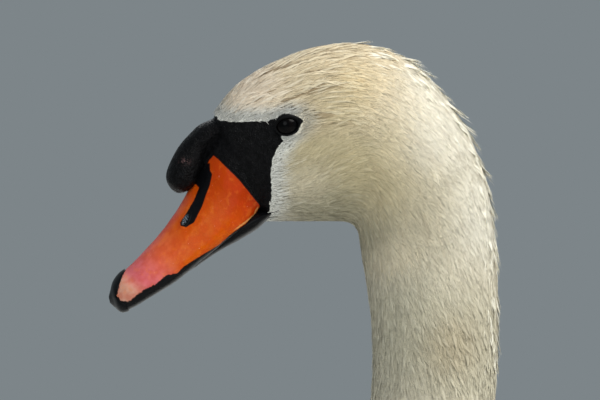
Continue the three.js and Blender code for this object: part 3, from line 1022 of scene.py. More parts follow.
def soften_black(skin, points):
    """Evens out the creases where the bare skin of the face, the knob and the base of the bill meet."""
    p = seen(points)
    share = 0.8 * ramp(outline_distance(p, MASK), 1.5, 4) * ramp(-outline_distance(p, ORANGE), 1.0, 2.5)
    share = share * ramp(eye_distance(points), 1.5, 2.2)
    near = np.flatnonzero(share > 0)
    index = np.full(len(points), -1)
    index[near] = np.arange(len(near))
    edges = np.empty(len(skin.data.edges) * 2, np.int32)
    skin.data.edges.foreach_get("vertices", edges)
    edges = index[edges.reshape(-1, 2)]
    edges = edges[(edges >= 0).all(1)]
    some = points[near]
    share = share[near][:, None]
    count = np.maximum(np.bincount(edges.ravel(), minlength=len(near)), 1)[:, None]
    for _ in range(BLACK_SMOOTHING):
        total = np.zeros_like(some)
        np.add.at(total, edges[:, 0], some[edges[:, 1]])
        np.add.at(total, edges[:, 1], some[edges[:, 0]])
        some = some + share * (total / count - some)
    points[near] = some
    return points


def make_skin():
    """One skin for the head, knob, neck, body, wings, tail and thighs."""
    leg = path_tube(THIGH_PATH, THIGH_RADII, 32)
    tubes = [
        *(lofted(wing, *WING_SKIN, 6, 96, wing_skin_height) for wing in wings),
        lofted(tail, 0, tail.last - 2.2, 5, 64, tail_skin_height),
        *(closed_tube(mirrored(leg, side), side) for _, side in SIDES),
        lofted(knob, 0, knob.last, 0.5, 144, knob_height),
        lofted(bill, bill.last - 2, bill.last, 0.5, 200, sleeve_height),
    ]
    skin = plain_mesh("skin", *lofted(body, 0, body.last, skin_gap, 224, skin_height))
    joined(skin, [plain_mesh("part", *each) for each in tubes])
    points = kept_above(soften_black(skin, vertices_of(skin)), LOWEST_SKIN * MM)
    set_vertices(skin, points)
    pink_patch = np.exp(-(np.linalg.norm((seen(points) - KNOB_PINK_PATCH) / PINK_PATCH_SIZE, axis=-1) ** 2))
    values = {"bare": mask_distance(points), "pink_patch": pink_patch}
    dress(skin, skin_material(), plumage(points) * DOWN_SHADE, values)


# --- Bill ---

NAIL_END = 5.2  # the last row of BILL that the nail reaches under the horn
NOSTRIL = (-422.3, 711.6)
NOSTRIL_WAY = (0.48, 0.877)  # along the slit, up towards the eye
NOSTRIL_SIZE = (3.6, 1.35)  # half its length and half its width
BILL_TIP = (-455, 674)
BILL_WAY = (0.616, 0.788)  # from the nail to the forehead


def along_and_across(p, origin, way):
    """How far the points p lie from the origin along a way, and to its upper side."""
    return (p - np.array(origin)) @ np.array(way), (p - np.array(origin)) @ np.array((-way[1], way[0]))


def nostril_distance(p):
    """0 in the middle of the nostril and 1 at its rim."""
    along, across = along_and_across(p, NOSTRIL, NOSTRIL_WAY)
    return np.hypot(along / NOSTRIL_SIZE[0], across / NOSTRIL_SIZE[1])


def bill_height(t, u):
    """A shallow nostril with a rim, and the grain of the horn."""
    points = bill.at(t, u)
    hole = nostril_distance(seen(points))
    rise = -1.1 * ramp(-hole, -1.0, -0.3) + 0.3 * np.exp(-((hole - 1.15) / 0.3) ** 2)
    return rise + 0.12 * noise(points / MM / 6, BILL_WAVES) + 0.04 * noise(points / MM / 1.8, BILL_GRAIN)


def nail_height(t, u):
    return -1.2 + 1.8 * ramp(outline_distance(seen(bill.at(t, u)), NAIL), -0.6, 0.5)


def jaw_height(t, u):
    return 0.1 * noise(jaw.at(t, u) / MM / 3, JAW_WAVES) - 3.5 * ramp(t, 4.5, 5.6)


def rim_highlight_share(p):
    """1 along the back of the orange's lower edge, which is painted paler as a highlight, and 0 elsewhere."""
    return ramp(-np.abs(p[..., 0] + 391), -8, -4) * ramp(-p[..., 1], -719, -716.5)


def bill_colour(p):
    """Orange at the base and along the mouth, turning salmon and then pale pink towards the nail, and pinker
    along the top, partly as a painted highlight.
    """
    along, culmen = along_and_across(p, BILL_TIP, BILL_WAY)
    orange, deep, brown = paint(208, 88, 0), paint(196, 66, 0), paint(160, 40, 0)
    salmon, pink, pale = paint(232, 110, 70), paint(220, 108, 114), paint(228, 166, 142)
    colour = blend(orange, deep, ramp(along, 50, 78))
    colour = blend(colour, brown, 0.7 * ramp(along, 62, 80) * ramp(-culmen, 4, 20))
    colour = blend(colour, salmon, ramp(-along, -50, -26) * ramp(culmen, -18, 0))
    colour = blend(colour, pink, ramp(-along, -32, -12))
    # Pinker along the top: partly the horn's own pink, partly a painted highlight on the culmen
    colour = blend(colour, pink, 0.9 * ramp(culmen, -1, 6) * ramp(-along, -66, -45))
    return blend(colour, pale, ramp(-along, -13, -4))


def make_bill():
    """The upper bill, its nail and the lower bill."""
    points, triangles = lofted(bill, 0, bill.last, 0.4, 240, bill_height)
    p = seen(points)
    values = {
        "orange": np.minimum(outline_distance(p, ORANGE), -outline_distance(p, NOSTRIL_STREAK)),
        "ragged": 0.4 + 1.6 * ramp(-p[..., 0], 424, 434),
        "rim": rim_highlight_share(p),
        # where the nostril's painted highlight lies
        "nostril_glint": ramp(-nostril_distance(p), -0.95, -0.5),
    }
    dress(plain_mesh("bill", points, triangles), bill_material(), bill_colour(p), values)
    black = horn_material("nail_horn", paint(7, 7, 9), paint(16, 17, 20), 0.34)
    nail = plain_mesh("bill_nail_horn", *lofted(bill, 0, NAIL_END, 0.4, 200, nail_height))
    lower = plain_mesh("bill_lower_horn", *lofted(jaw, 0, jaw.last, 0.8, 120, jaw_height))
    for piece in (nail, lower):
        dress(piece, black)


# --- Eyes ---

IRIS_RADIUS = 4.6
PUPIL_RADIUS = 2.7
GAZE = (1, -0.22, 0.06)  # outwards and a little forwards
EYE_RINGS, EYE_AROUND = 40, 64
LID_RINGS, LID_AROUND = 96, 12
LID_OPENING = (6.0, 4.7)


def make_eye(name, side, material):
    """An eyeball with a clear bulge in front of its dark iris."""
    polar, turn = np.meshgrid(np.linspace(0, math.pi, EYE_RINGS), angles(EYE_AROUND), indexing="ij")
    gaze = unit(np.array(GAZE))
    across = unit(np.cross(gaze, np.array([0, 0, 1.0])))
    up = np.cross(across, gaze)
    cornea = 0.35 * np.exp(-((polar / 0.55) ** 2))
    radius = (EYE_RADIUS - 0.25 + cornea)[..., None]
    ray = np.cos(polar)[..., None] * gaze
    ray = ray + np.sin(polar)[..., None] * (np.cos(turn)[..., None] * across + np.sin(turn)[..., None] * up)
    points = mirrored((np.array(EYE_AT) + ray * radius) * MM, side)
    from_pole = EYE_RADIUS * np.sin(np.minimum(polar, math.pi / 2))
    fibres = 0.75 + 0.35 * noise(np.stack([8 * np.cos(turn), 8 * np.sin(turn), polar], -1), IRIS_FIBRES)
    iris = paint(12, 9, 9) * fibres[..., None]
    colour = blend(paint(4, 4, 5), iris, ramp(from_pole, PUPIL_RADIUS - 0.2, PUPIL_RADIUS + 0.2))
    colour = blend(colour, paint(7, 7, 8), ramp(from_pole, IRIS_RADIUS - 0.4, IRIS_RADIUS + 0.4))
    quads = ring_quads(EYE_RINGS, EYE_AROUND)[:, ::side]
    dress(plain_mesh(name, points.reshape(-1, 3), quads), material, colour.reshape(-1, 3))


def make_lid(name, side, material):
    """The rim of bare skin round the eye, thicker above."""
    turn, roll = np.meshgrid(angles(LID_RINGS), angles(LID_AROUND), indexing="ij")
    y = LID_OPENING[0] * np.cos(turn)
    z = LID_OPENING[1] * np.sin(turn) + 0.5 * np.cos(turn)
    x = np.sqrt(np.maximum((EYE_RADIUS + 0.35) ** 2 - y**2 - z**2, 0))
    centre = np.stack([x, y, z], -1)
    outwards = unit(centre * np.array([0.35, 1, 1]))
    along = unit(np.roll(centre, -1, 0) - np.roll(centre, 1, 0))
    side_way = np.cross(along, outwards)
    thick = (0.75 + 0.35 * np.sin(turn))[..., None]
    points = centre + thick * (np.cos(roll)[..., None] * outwards + np.sin(roll)[..., None] * side_way)
    points = mirrored((points + np.array(EYE_AT)) * MM, side)
    quads = ring_quads(LID_RINGS, LID_AROUND, looped=True)[:, ::-side]
    dress(plain_mesh(name, points.reshape(-1, 3), quads), material)


# --- The coat of the head and neck ---

GIRTH = 217  # about how far it is round the head and the upper neck
# The rows of BODY between which each kind of feather grows
HEAD_COAT = (0, 16.8)
LOCKS = (0.2, 10.5)
NAPE_POINTS = (3.9, 9.4)


def groove(surface, t, u, across, along, seed):
    """Noise from -1 to 1 whose patches are this far across the neck and along the lie of the coat."""
    radius = GIRTH / across / (2 * np.pi)
    angle = 2 * np.pi * u
    run = surface.read(surface.travel, t, u)[..., 0] / MM / along
    return noise(np.stack([radius * np.cos(angle), radius * np.sin(angle), run], -1), seed)


def off_ridge(u):
    """How far round from the dorsal line, in turns: + on the left, - on the right."""
    return np.mod(u + 0.5, 1) - 0.5


def neck_heading(t, u):
    """The lie turns up over the cheek, and up towards the nape on the sides of the upper neck."""
    away = np.abs(off_ridge(u))
    cheek = plateau(t, 1.0, 2.2, 3.4, 4.6) * plateau(away, 0.2, 0.28, 0.36, 0.44)
    neck = plateau(t, 4.5, 6.5, 9, 11.5) * np.sin(np.pi * np.clip(away * 2.4, 0, 1))
    return -np.sign(off_ridge(u)) * (np.radians(24) * cheek + np.radians(22) * neck)


def head_spacing(t):
    return 1.05 + 0.6 * middle_share(t) + 1.4 * breast_share(t)


def strand_spacing(t):
    return 0.8 + 0.5 * middle_share(t) + 1.1 * breast_share(t)


def lock_spacing(t):
    return 2.7 + 0.8 * ramp(t, 4, 7)


def crown_share(t, points):
    """1 on the forehead and crown, whose feathers are stained, and 0 elsewhere."""
    back = ramp(t, 2.9, 4.4)
    return ramp(points[..., 2], 0.75, 0.77) * ramp(-mask_distance(points), 2.5, 6) * (1 - back)


def lightening(dark, light, full):
    """A feather's tone: darker at its root as painted shade, where the feathers over it lie, and light from
    this far along it.
    """
    return lambda s, c, n: dark[:, None] + (light - dark[:, None]) * ramp(s, 0.0, full)


def grow_head_layer(coat, rng, t, u, shape, stretch, slim, lift):
    """Grows one layer on the head and neck: stretch and slim scale its feathers, and lift raises them."""
    n = len(t)
    points = body.at(t, u)
    edge = -mask_distance(points)
    size = ramp(edge, 0, 12)
    neck = neck_share(t)
    breast = breast_share(t)
    length = (2.2 + 5.6 * size + 7 * breast) * stretch * rng.uniform(0.75, 1.25, n)
    width = (0.7 + 0.45 * size + 0.35 * neck + 1.7 * breast) * slim * rng.uniform(0.8, 1.2, n)
    crown = crown_share(t, points)
    forehead = crown * (1 - ramp(points[..., 1], -0.366, -0.346))
    furrow = 1.1 * groove(body, t, u, 1.6, 13, FURROWS)
    furrow = furrow + (0.3 + 0.5 * forehead) * groove(body, t, u, 4.5, 22, BROAD_FURROWS)
    heading = neck_heading(t, u) + rng.normal(0, 0.07, n) + rng.normal(0, 0.5, n) * (1 - ramp(edge, 0, 3))
    heading = heading + 0.1 * groove(body, t, u, 9, 22, SWAY)
    deep = ramp(-furrow, 0.05, 0.55)
    # The crown's own stain, and in the furrows the same brown again as painted shade
    stain_and_furrow_shade = 0.14 * crown + deep * (0.12 + 0.3 * crown + 0.3 * forehead)
    colour = blend(plumage(points), STAIN_AND_FURROW_SHADE, stain_and_furrow_shade * (1 - 0.8 * neck))
    # Painted shade: the feathers just above the mask's upper edge are darkened by up to 45%, and the neck is
    # darker in its furrows
    brow_fringe_shade = ramp(points[..., 2], 0.745, 0.757) * (1 - ramp(edge, 1, 6.5))
    colour = colour * (1 - 0.13 * deep * neck - 0.45 * brow_fringe_shade)[:, None]
    # Painted light: the lower neck is made up to 7% lighter, against the shade among its thin tufts; each
    # feather also varies a little at random
    colour = colour * (1 + 0.07 * ramp(t, 10, 13.5) + 0.04 * rng.normal(0, 1, n))[:, None]
    sunk = 0.5 * deep * (0.15 + 0.85 * crown)
    top = rng.uniform(-0.2, 0.3, n) * (0.3 + 0.7 * size) - sunk + lift
    root = 0.4 * coat_depth(t) * size

    def height(s, c, n):
        ridge = 0.16 * (1 - np.abs(c)) * (1 - s)
        return -root[:, None] * (1 - s) ** 1.5 + top[:, None] * (0.3 + 0.7 * s) + ridge + 0.1

    bend = rng.normal(0, 0.1, n)
    # roots painted darker as shade, more so on the neck
    tone = lightening(0.93 - 0.07 * neck, 1.04, 0.7)
    coat.grow(body, t, u, shape, length, width, height, colour, heading, bend, tone)


def grow_locks(coat, rng):
    """Wet, pale locks that lie over the other feathers and let darker lines show between them."""

    def clear_of_face(t, u):
        return (mask_distance(body.at(t, u)) < -7) & (eye_distance(body.at(t, u)) > 2.8)

    t, u = body.scatter(rng, *LOCKS, lock_spacing, clear_of_face)
    n = len(t)
    points = body.at(t, u)
    crown = crown_share(t, points)
    heading = neck_heading(t, u) + rng.normal(0, 0.06, n) + 0.1 * groove(body, t, u, 9, 22, SWAY)
    colour = varied(rng, blend(plumage(points), NAPE, 0.06 + 0.1 * crown), n, 0.035)
    neck = neck_share(t)
    top = rng.uniform(0.1, 0.4, n) * (1 + 1.2 * neck) + 0.2 * crown

    def height(s, c, n):
        return -0.3 * (1 - s) + top[:, None] * ramp(s, 0, 0.5) - 0.15 * np.abs(c)

    length = rng.uniform(8.5, 13, n) * (1 + 0.3 * crown)
    width = rng.uniform(1.3, 2.1, n) * (1 - 0.15 * crown)
    bend = rng.normal(0, 0.12, n)
    # roots painted darker as shade, more so on the crown and neck
    tone = lightening(0.98 - 0.08 * crown - 0.08 * neck, 1.04, 0.5)
    coat.grow(body, t, u, TUFT, length, width, height, colour, heading, bend, tone)


# The longest wet points on the nape, each a place on the dorsal line and how far its tip stands out
SPIKES = [
    (3.62, 2.6), (3.95, 1.4), (4.3, 1.2), (4.62, 3.6), (4.95, 3.4), (5.2, 2.0), (5.42, 2.4), (5.68, 4.6),
    (5.98, 4.4), (6.2, 3.2), (6.45, 2.2), (6.7, 4.2), (7.0, 2.4), (7.25, 3.2), (7.6, 2.0), (8.0, 2.8),
    (8.5, 1.8), (9.0, 2.2),
]
TUFTS_A_SPIKE = 16


def grow_nape_spikes(coat, rng):
    """Wet tips of feathers that stand out in points down the back of the head."""
    t, u = body.scatter(rng, *NAPE_POINTS, 5.5, lambda t, u: np.abs(off_ridge(u)) < 0.12)
    rise = rng.uniform(0.3, 2.2, len(t)) * ramp(-np.abs(off_ridge(u)), -0.13, -0.03)
    t = np.concatenate([t, [place for place, _ in SPIKES]])
    u = np.concatenate([u, rng.uniform(-0.012, 0.012, len(SPIKES))])
    rise = np.concatenate([rise, [high for _, high in SPIKES]])
    count = len(t)
    t, u, rise = (np.repeat(each, TUFTS_A_SPIKE) for each in (t, u, rise))
    n = len(t)
    apart = rng.normal(0, 1.8, n)
    t, u = body.step(t, u, 0.0, rng.normal(0, 1.2, n), apart)
    u = np.mod(u, 1)
    rise = rise * rng.uniform(0.8, 1.1, n)
    turn = np.repeat(rng.normal(0, 0.1, count), TUFTS_A_SPIKE) - apart / 10.5
    colour = varied(rng, blend(plumage(body.at(t, u)), NAPE, 0.75), n, 0.03)

    def height(s, c, n):
        return -0.4 + (0.4 + rise[:, None]) * s**1.5

    # Painted light: lighter towards each tip, against the shade on the raised ends
    def tone(s, c, n):
        return 1.04 + 0.22 * s

    length = rng.uniform(11, 13, n)
    coat.grow(body, t, u, TUFT, length, 1.7, height, colour, turn, 0.0, tone)


def make_head_coat(rng, material):
    coat = Coat("coat_head", material, "head_feathers")

    def feathered(t, u):
        points = body.at(t, u)
        ending = ramp(t, 14.6, 16.8) > rng.uniform(0.02, 0.98, t.shape)
        return (mask_distance(points) < 0) & (eye_distance(points) > 1.2) & ~ending

    places = body.scatter(rng, *HEAD_COAT, head_spacing, feathered)
    grow_head_layer(coat, rng, *places, TUFT, 1.0, 1.0, 0.0)
    places = body.scatter(rng, *HEAD_COAT, strand_spacing, feathered, 1.5)
    grow_head_layer(coat, rng, *places, STRAND, 1.1, 0.5, 0.15)
    grow_locks(coat, rng)
    grow_nape_spikes(coat, rng)
    coat.make()


# --- The coat of the body, wings, thighs and tail ---


# The rows of BODY between which each kind of feather grows
BODY_COAT = (13.8, 24.9)
FLANK = (20, 22)
MANTLE = (16.5, 21.5)
UNDER_WING = 14  # how far the body's feathers run in under a wing


def in_wing(points, margin):
    """Whether points of the body lie inside a folded wing by more than the margin."""
    y = points[..., 1] / MM
    row = rows_at(WING, np.interp(y, [r[0] for r in WING], np.arange(len(WING))))
    lower_x, lower_z, upper_x, upper_z, bulge, inward = np.moveaxis(row[..., 1:], -1, 0)
    x, z = np.abs(points[..., 0]) / MM, points[..., 2] / MM
    long_x, long_z = upper_x - lower_x, upper_z - lower_z
    size = np.hypot(long_x, long_z)
    away_x, away_z = x - (upper_x + lower_x) / 2, z - (upper_z + lower_z) / 2
    up = (away_x * long_x + away_z * long_z) / size / (size / 2 - margin)
    out = (away_x * long_z - away_z * long_x) / size
    out = out / np.maximum(np.where(out > 0, bulge, inward) - margin, 0.1)
    inside_y = (y > WING[0][0] + margin) & (y < WING[-1][0] - margin)
    return inside_y & (np.abs(up) ** 2.1 + np.abs(out) ** 2.1 < 1)


def body_spacing(t):
    return 3.4 + 2.6 * ramp(t, 14, 17) + 1.2 * ramp(t, 18, 22)


def over_thigh(t, u):
    """The lower flank, whose long feathers hang over the thigh."""
    return (np.abs(off_ridge(u)) > 0.27) & (np.abs(off_ridge(u)) < 0.38)


def between_wings(t, u):
    return np.abs(off_ridge(u)) < 0.1


def grow_contour(coat, rng):
    """The feathers that cover the breast, belly, flanks and rump."""

    def feathered(t, u):
        started = ramp(t, 13.8, 15.8) > rng.uniform(0.02, 0.98, t.shape)
        return started & ~in_wing(body.at(t, u), UNDER_WING)

    t, u = body.scatter(rng, *BODY_COAT, body_spacing, feathered, 8.0)
    n = len(t)
    gap = body_spacing(t)
    length = gap * rng.uniform(3.0, 3.8, n) * (1 + 0.6 * ramp(t, 21, 24))
    width = gap * rng.uniform(1.9, 2.3, n)
    heading = rng.normal(0, 0.07, n) + 0.1 * groove(body, t, u, 40, 60, BODY_SWAY)
    colour = varied(rng, plumage(body.at(t, u)), n, 0.02)
    height = shingle(-1.7, 0.6, ridge=0.15, droop=0.35, ruffle=0.22)
    coat.grow(body, t, u, VANE, length, width, height, colour, heading, rng.normal(0, 0.08, n))


def grow_flank(coat, rng):
    t, u = body.scatter(rng, *FLANK, 8, over_thigh)
    n = len(t)
    colour = varied(rng, plumage(body.at(t, u)), n, 0.02)
    down = np.sign(off_ridge(u)) * rng.normal(0.22, 0.08, n)
    length = rng.uniform(34, 50, n)
    height = shingle(-1.5, 2.2, ridge=0.2, droop=0.8, ruffle=1.2)
    coat.grow(body, t, u, VANE, length, 19.0, height, colour, down)


def grow_mantle(coat, rng):
    """Broad feathers down the middle of the back."""
    t, u = body.scatter(rng, *MANTLE, 13, between_wings)
    n = len(t)
    colour = varied(rng, plumage(body.at(t, u)), n, 0.02)
    length = rng.uniform(48, 62, n)
    height = shingle(-1.0, 4.5, ridge=0.4, droop=1.5, ruffle=0.8)
    coat.grow(body, t, u, VANE, length, 30.0, height, colour, rng.normal(0, 0.08, n))


def make_body_coat(rng, material):
    coat = Coat("coat_body", material, "feathers")
    grow_contour(coat, rng)
    grow_flank(coat, rng)
    grow_mantle(coat, rng)
    coat.make()


# Rows of wing feathers: how far behind the front of the wing, length, width, and the share of the way from
# the wing's upper to its lower edge where the row starts and ends
WING_ROWS = [
    (2, 22, 15, -0.16, 1.14),
    (9, 24, 16, -0.16, 1.14),
    (18, 27, 17, -0.16, 1.14),
    (28, 30, 18, -0.15, 1.12),
    (40, 34, 20, -0.14, 1.12),
    (53, 38, 22, -0.14, 1.1),
    (68, 42, 24, -0.13, 1.1),
    (85, 47, 26, -0.13, 1.1),
    (104, 52, 28, -0.12, 1.08),
    (126, 60, 30, -0.12, 1.08),
    (152, 72, 32, -0.12, 1.08),
    (184, 92, 34, -0.12, 1.08),
]
COVERT_GAP = 0.56  # the spacing between two of them as a share of their width
# Flight feathers: the same, with a spacing for each row
QUILLS = [
    (400, 300, 24, -0.25, 1.0, 0.5),
    (370, 270, 26, -0.25, 1.02, 0.45),
    (335, 235, 28, -0.25, 1.04, 0.45),
    (290, 215, 30, -0.2, 1.06, 0.45),
    (240, 190, 32, -0.15, 1.06, 0.45),
    (320, 250, 44, -0.12, 0.5, 0.42),
    (262, 205, 42, -0.12, 0.48, 0.42),
    (212, 150, 34, -0.12, 1.06, 0.45),
]


def wing_row(wing, rng, behind, first, last, gap, stagger):
    """Places across the wing, a gap apart, at about one distance behind its front."""
    t = np.interp(behind, np.array([r[0] for r in WING]) - WING[0][0], np.arange(len(WING)))
    u = np.linspace(first / 2, last / 2, 200)
    turn = np.linalg.norm(wing.read(wing.round, t + 0 * u, u), axis=-1) / MM
    run = np.concatenate([[0], np.cumsum(turn[1:] * np.diff(u))])
    at = np.arange(rng.uniform(0, gap), run[-1], gap)
    at = at + rng.normal(0, 0.06 * gap, len(at))
    return t + rng.normal(0, stagger, len(at)), np.interp(at, run, u)


def quill_height(number, thin):
    """A flight feather's rise: each row lies over the last, and thin flattens them near the wing's tip."""
    rise = shingle(-3.4, 0.8 + 0.25 * number, ridge=0.6, droop=0.3, ruffle=0.2, tilt=0.8)
    return lambda s, c, n: rise(s, c, n) * (thin + (1 - thin) * (1 - s))


def grow_quills(coat, rng, wing):
    for number, (behind, length, width, first, last, gap) in enumerate(QUILLS):
        t, u = wing_row(wing, rng, behind, first, last, width * gap, 0.12)
        n = len(t)
        room = (wing.travel[-1].mean() - wing.read(wing.travel, t, u)[..., 0]) / MM - 3
        long = np.minimum(length * rng.uniform(0.93, 1.05, n), room * rng.uniform(0.93, 1.0, n))
        colour = varied(rng, WHITE, n, 0.015)
        height = quill_height(number, 0.35 + 0.65 * ramp(room, 40, 260)[:, None])
        coat.grow(wing, t, u, QUILL, long, width, height, colour, rng.normal(0, 0.02, n))


def grow_coverts(coat, rng, wing):
    height = shingle(-1.5, 1.8, ridge=0.3, droop=0.7, ruffle=0.35)
    for behind, length, width, first, last in WING_ROWS[::-1]:
        t, u = wing_row(wing, rng, behind, first, last, width * COVERT_GAP, 0.04)
        n = len(t)
        long = length * rng.uniform(0.92, 1.08, n)
        colour = varied(rng, WHITE, n, 0.015)
        coat.grow(wing, t, u, COVERT, long, width, height, colour, rng.normal(0, 0.05, n))


def make_wing_coat(rng, material):
    coat = Coat("coat_wings", material, "feathers")
    for wing in wings:
        grow_quills(coat, rng, wing)
        grow_coverts(coat, rng, wing)
    coat.make()


THIGH_GAP = 2.3  # how far apart the thigh's feathers grow
THIGH_LOWEST = 4  # the height of their lowest roots


def make_thigh_coat(rng, material):
    """Small feathers down each thigh, where it shows below the flank."""
    coat = Coat("coat_thighs", material, "feathers")
    leg = path_tube(THIGH_PATH, THIGH_RADII, 110, 40)
    middle = leg.mean(1, keepdims=True)
    normal = unit(leg - middle)
    way = unit(np.gradient(middle, axis=0)) + 0 * leg
    down, round_it = np.meshgrid(*(np.arange(k) / k for k in leg.shape[:2]), indexing="ij")
    for side in (1, -1):
        chosen = rng.permutation(down.size)
        points = mirrored(leg, side).reshape(-1, 3)[chosen]
        kept = thinned(points, np.full(len(points), THIGH_GAP * MM)) & (points[:, 2] > THIGH_LOWEST * MM)
        chosen, points = chosen[kept], points[kept]
        over = mirrored(normal, side).reshape(-1, 3)[chosen]
        forward = mirrored(way, side).reshape(-1, 3)[chosen]
        n = len(points)
        forward = unit(forward + 0.01 * over + 0.08 * rng.normal(0, 1, (n, 3)))
        colour = varied(rng, WHITE, n, 0.02)
        length = rng.uniform(7, 11, n)
        across_map = 0.25 + 0.22 * side + 0.45 * round_it.ravel()[chosen]
        place = np.stack([across_map, 0.02 + 0.96 * down.ravel()[chosen]], -1)
        coat.lay(points / MM - 0.3 * over, place, forward, over, TUFT, length, 2.4, 0.1, 0.2, colour)
    coat.make()


TAIL_FEATHERS = 22
TAIL_FAN = math.radians(80)  # round the tail's rounded end, from its middle to the outermost feather
# Feathers over the root of the tail: the last row of TAIL that they grow on, their spacing, and the rise of
# their roots and tips
TAIL_COVERTS = [(1.7, 10, -2, 1.0), (1.0, 9, -1.2, 1.6)]


def make_tail_coat(rng, material):
    """A fan of long feathers, the outermost lowest, with coverts over their roots."""
    coat = Coat("coat_tail", material, "feathers")
    share = np.linspace(-1, 1, TAIL_FEATHERS)
    share = share[np.argsort(-np.abs(share), kind="stable")]
    fan = share * TAIL_FAN
    layer = np.linspace(-2.8, 2.4, TAIL_FEATHERS)
    root = np.stack([26 * share, 300 + 0 * share, 214 - 9 * np.abs(share) + layer], -1)
    tip = np.stack([57 * np.sin(fan), 385 + 73 * np.cos(fan) ** 0.8, 179 + 8 * share**2 + layer], -1)
    over = np.stack([0.25 * share, 0.18 + 0 * share, 1 + 0 * share], -1)
    long = np.linalg.norm(tip - root, axis=-1)
    colour = varied(rng, WHITE, TAIL_FEATHERS, 0.015)
    place = np.stack([0.5 + 0.45 * share, 0.05 + 0 * share], -1)
    coat.lay(root, place, tip - root, over, QUILL, long, 27.0, 0.8, 1.2, colour)
    for last, gap, low, high in TAIL_COVERTS:
        t, u = tail.scatter(rng, 0, last, gap, crowd=8.0)
        n = len(t)
        colour = varied(rng, WHITE, n, 0.02)
        length = rng.uniform(34, 46, n)
        height = shingle(low, high, ridge=0.3, droop=0.5, ruffle=0.25)
        coat.grow(tail, t, u, COVERT, length, 24.0, height, colour, rng.normal(0, 0.06, n))
    coat.make()


# --- Feet ---

HOCK = (90, 158, 16)
SHANK = (95, 100, 11)
HEEL = (100, 48, 6)
TOE_TIPS = [(76, -44, 4.4), (106, -82, 4.4), (140, -52, 4.4)]
HIND_TOE_TIP = (84, 72, 4.6)
CLAW_LENGTHS = [12, 12, 12, 5]  # the hind toe's last
WEB_HOLLOW = 0.82  # how far out the middle of a web's front edge lies
WEB_THICKNESS = 2.2
WEB_ACROSS, WEB_ROWS = 14, 26


def toe(tip):
    """A toe from the heel to its tip, with two knuckles between."""
    knuckles = [np.array(HEEL) * (1 - f) + np.array(tip) * f for f in (0.36, 0.7)]
    return path_tube([HEEL, *knuckles, tip], [5.4, 5.0, 4.5, 3.9], 16)


def web(tip_a, tip_b):
    """The web between two toes, as a thin closed plate with fine folds along it."""
    heel, a, b = np.array(HEEL), np.array(tip_a, float), np.array(tip_b, float)
    f = np.linspace(0, 1, WEB_ACROSS)[None, :, None]
    middle = heel + (2 * WEB_HOLLOW - 1) * ((a + b) / 2 - heel)
    edge = (1 - f) ** 2 * a + f**2 * b + 2 * f * (1 - f) * middle
    out = np.linspace(0.06, 0.985, WEB_ROWS)[:, None, None]
    top = heel * (1 - out) + edge * out
    fold = 0.5 * np.sin(f[..., 0] * 5 * np.pi) * out[..., 0]
    top[..., 2] = 1.7 + WEB_THICKNESS / 2 + fold
    under = top - np.array([0, 0, WEB_THICKNESS])
    return np.concatenate([top, under[:, ::-1]], 1) * MM


def make_foot(name, side, material):
    """One skin over the leg below the hock, the toes and the webs."""
    limbs = [path_tube([HOCK, SHANK, HEEL], [9, 7.5, 7], 20)]
    limbs.extend(toe(tip) for tip in TOE_TIPS)
    limbs.append(path_tube([HEEL, HIND_TOE_TIP], [4.4, 3.4], 12))
    limbs.extend(web(a, b) for a, b in zip(TOE_TIPS, TOE_TIPS[1:]))
    foot, *others = (plain_mesh("limb", *closed_tube(mirrored(limb, side), side)) for limb in limbs)
    joined(foot, others)
    foot.name = name
    remesh = foot.modifiers.new("even", "REMESH")
    remesh.mode = "VOXEL"
    remesh.voxel_size = 1.5 * MM
    smooth = foot.modifiers.new("soft", "SMOOTH")
    smooth.factor = 0.5
    smooth.iterations = 3
    applied(foot)
    set_vertices(foot, kept_above(vertices_of(foot)))
    dress(foot, material)


def make_claw(name, side, material, tip, length):
    """A claw that curves down from the tip of a toe."""
    way = unit(np.array(tip) - np.array(HEEL))
    start = np.array(tip) + way * 0.5
    path = [start, start + way * length * 0.55 + (0, 0, 0.3), start + way * length + (0, 0, -2.6)]
    claw = kept_above(path_tube(path, [3.1, 2.3, 0.7], 16))
    dress(plain_mesh(name, *closed_tube(mirrored(claw, side), side)), material)


def make_feet():
    skin = foot_material()
    horn = horn_material("claw_horn", paint(18, 17, 16), paint(44, 40, 36), 0.4)
    for name, side in SIDES:
        make_foot(f"foot_skin_{name}", side, skin)
        for number, tip in enumerate([*TOE_TIPS, HIND_TOE_TIP]):
            make_claw(f"claw_{name}_{number + 1}", side, horn, tip, CLAW_LENGTHS[number])


# --- Camera, light and floor ---

FLOOR_RADIUS = 4.2  # metres
FLOOR_SIDES = 96
HEAD = (0, -0.34, 0.74)  # what the lights point at


def make_camera():
    data = bpy.data.cameras.new("camera")
    data.sensor_width = 36
    data.lens = 360  # 0.3 m across at the bird
    camera = new_object("camera", data)
    way = Vector((math.cos(VIEW_TILT), 0, math.sin(VIEW_TILT)))
    camera.location = Vector(VIEW_TARGET) + way * VIEW_DISTANCE
    camera.rotation_euler = (-way).to_track_quat("-Z", "Y").to_euler()
    bpy.context.scene.camera = camera


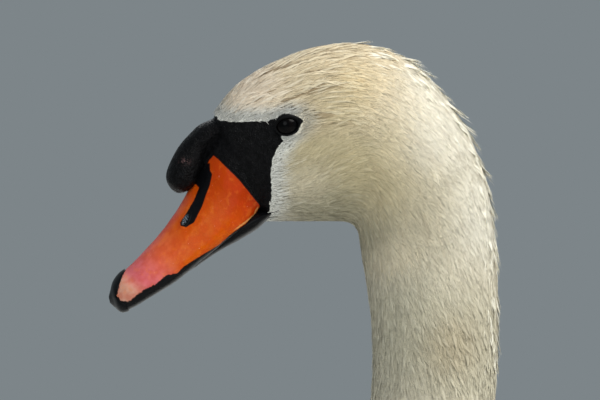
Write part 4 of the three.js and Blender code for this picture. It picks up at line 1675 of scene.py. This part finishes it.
def make_light(name, place, size, power, colour):
    """A round soft light turned to the head, its place and size in metres and its power in watts."""
    data = bpy.data.lights.new(name, "AREA")
    data.shape = "DISK"
    data.size = size
    data.energy = power
    data.color = colour
    light = new_object(name, data)
    light.location = place
    light.rotation_euler = (Vector(HEAD) - Vector(place)).to_track_quat("-Z", "Y").to_euler()
    light.visible_camera = False


def make_floor():
    angle = angles(FLOOR_SIDES)
    rim = np.stack([FLOOR_RADIUS * np.cos(angle), FLOOR_RADIUS * np.sin(angle), 0 * angle], -1)
    floor = plain_mesh("floor", rim, [range(len(rim))])
    floor.data.materials.append(floor_material())


def make_world():
    world = bpy.data.worlds.new("studio")
    world.use_nodes = True
    shade = world.node_tree.nodes["Background"]
    shade.inputs["Color"].default_value = (*paint(125, 133, 137), 1)
    shade.inputs["Strength"].default_value = 1.0
    bpy.context.scene.world = world
    bpy.context.scene.view_settings.view_transform = "Standard"


# --- The whole bird ---

# The nodes of the frame that each piece is shown instead of
STANDS_FOR = {
    "skin": [
        "head", "knob", "neck_upper", "neck_middle", "neck_lower", "breast", "trunk", "rump", "tail",
        "wing_left", "wing_right", "wing_tip_left", "wing_tip_right", "thigh_left", "thigh_right",
    ],
    "bill": ["bill_upper"],
    "bill_nail_horn": ["bill_nail"],
    "bill_lower_horn": ["bill_lower"],
    "eyeball_left": ["eye_left"],
    "eyeball_right": ["eye_right"],
    "foot_skin_left": ["foot_left"],
    "foot_skin_right": ["foot_right"],
}

make_camera()
make_world()
make_floor()
make_light("key", (0.9, 1.4, 3.0), 2.2, 112, (1.0, 0.98, 0.94))
make_light("fill", (3.2, -1.4, 2.0), 2.4, 37, (0.95, 0.98, 1.0))
make_light("far_side", (-3.0, 0.2, 2.2), 2.4, 60, (0.97, 0.98, 1.0))

rng = np.random.default_rng(DRAWS)
make_skin()
make_bill()
eye = eye_material()
lid = horn_material("lid_skin", paint(5, 5, 6), paint(11, 11, 13), 0.5)
for name, side in SIDES:
    make_eye(f"eyeball_{name}", side, eye)
    make_lid(f"eyelid_{name}", side, lid)
feathers = feather_material()
make_head_coat(rng, feathers)
make_body_coat(rng, feathers)
make_wing_coat(rng, feathers)
make_tail_coat(rng, feathers)
make_thigh_coat(rng, feathers)
make_feet()

for piece, nodes in STANDS_FOR.items():
    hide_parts(*nodes)
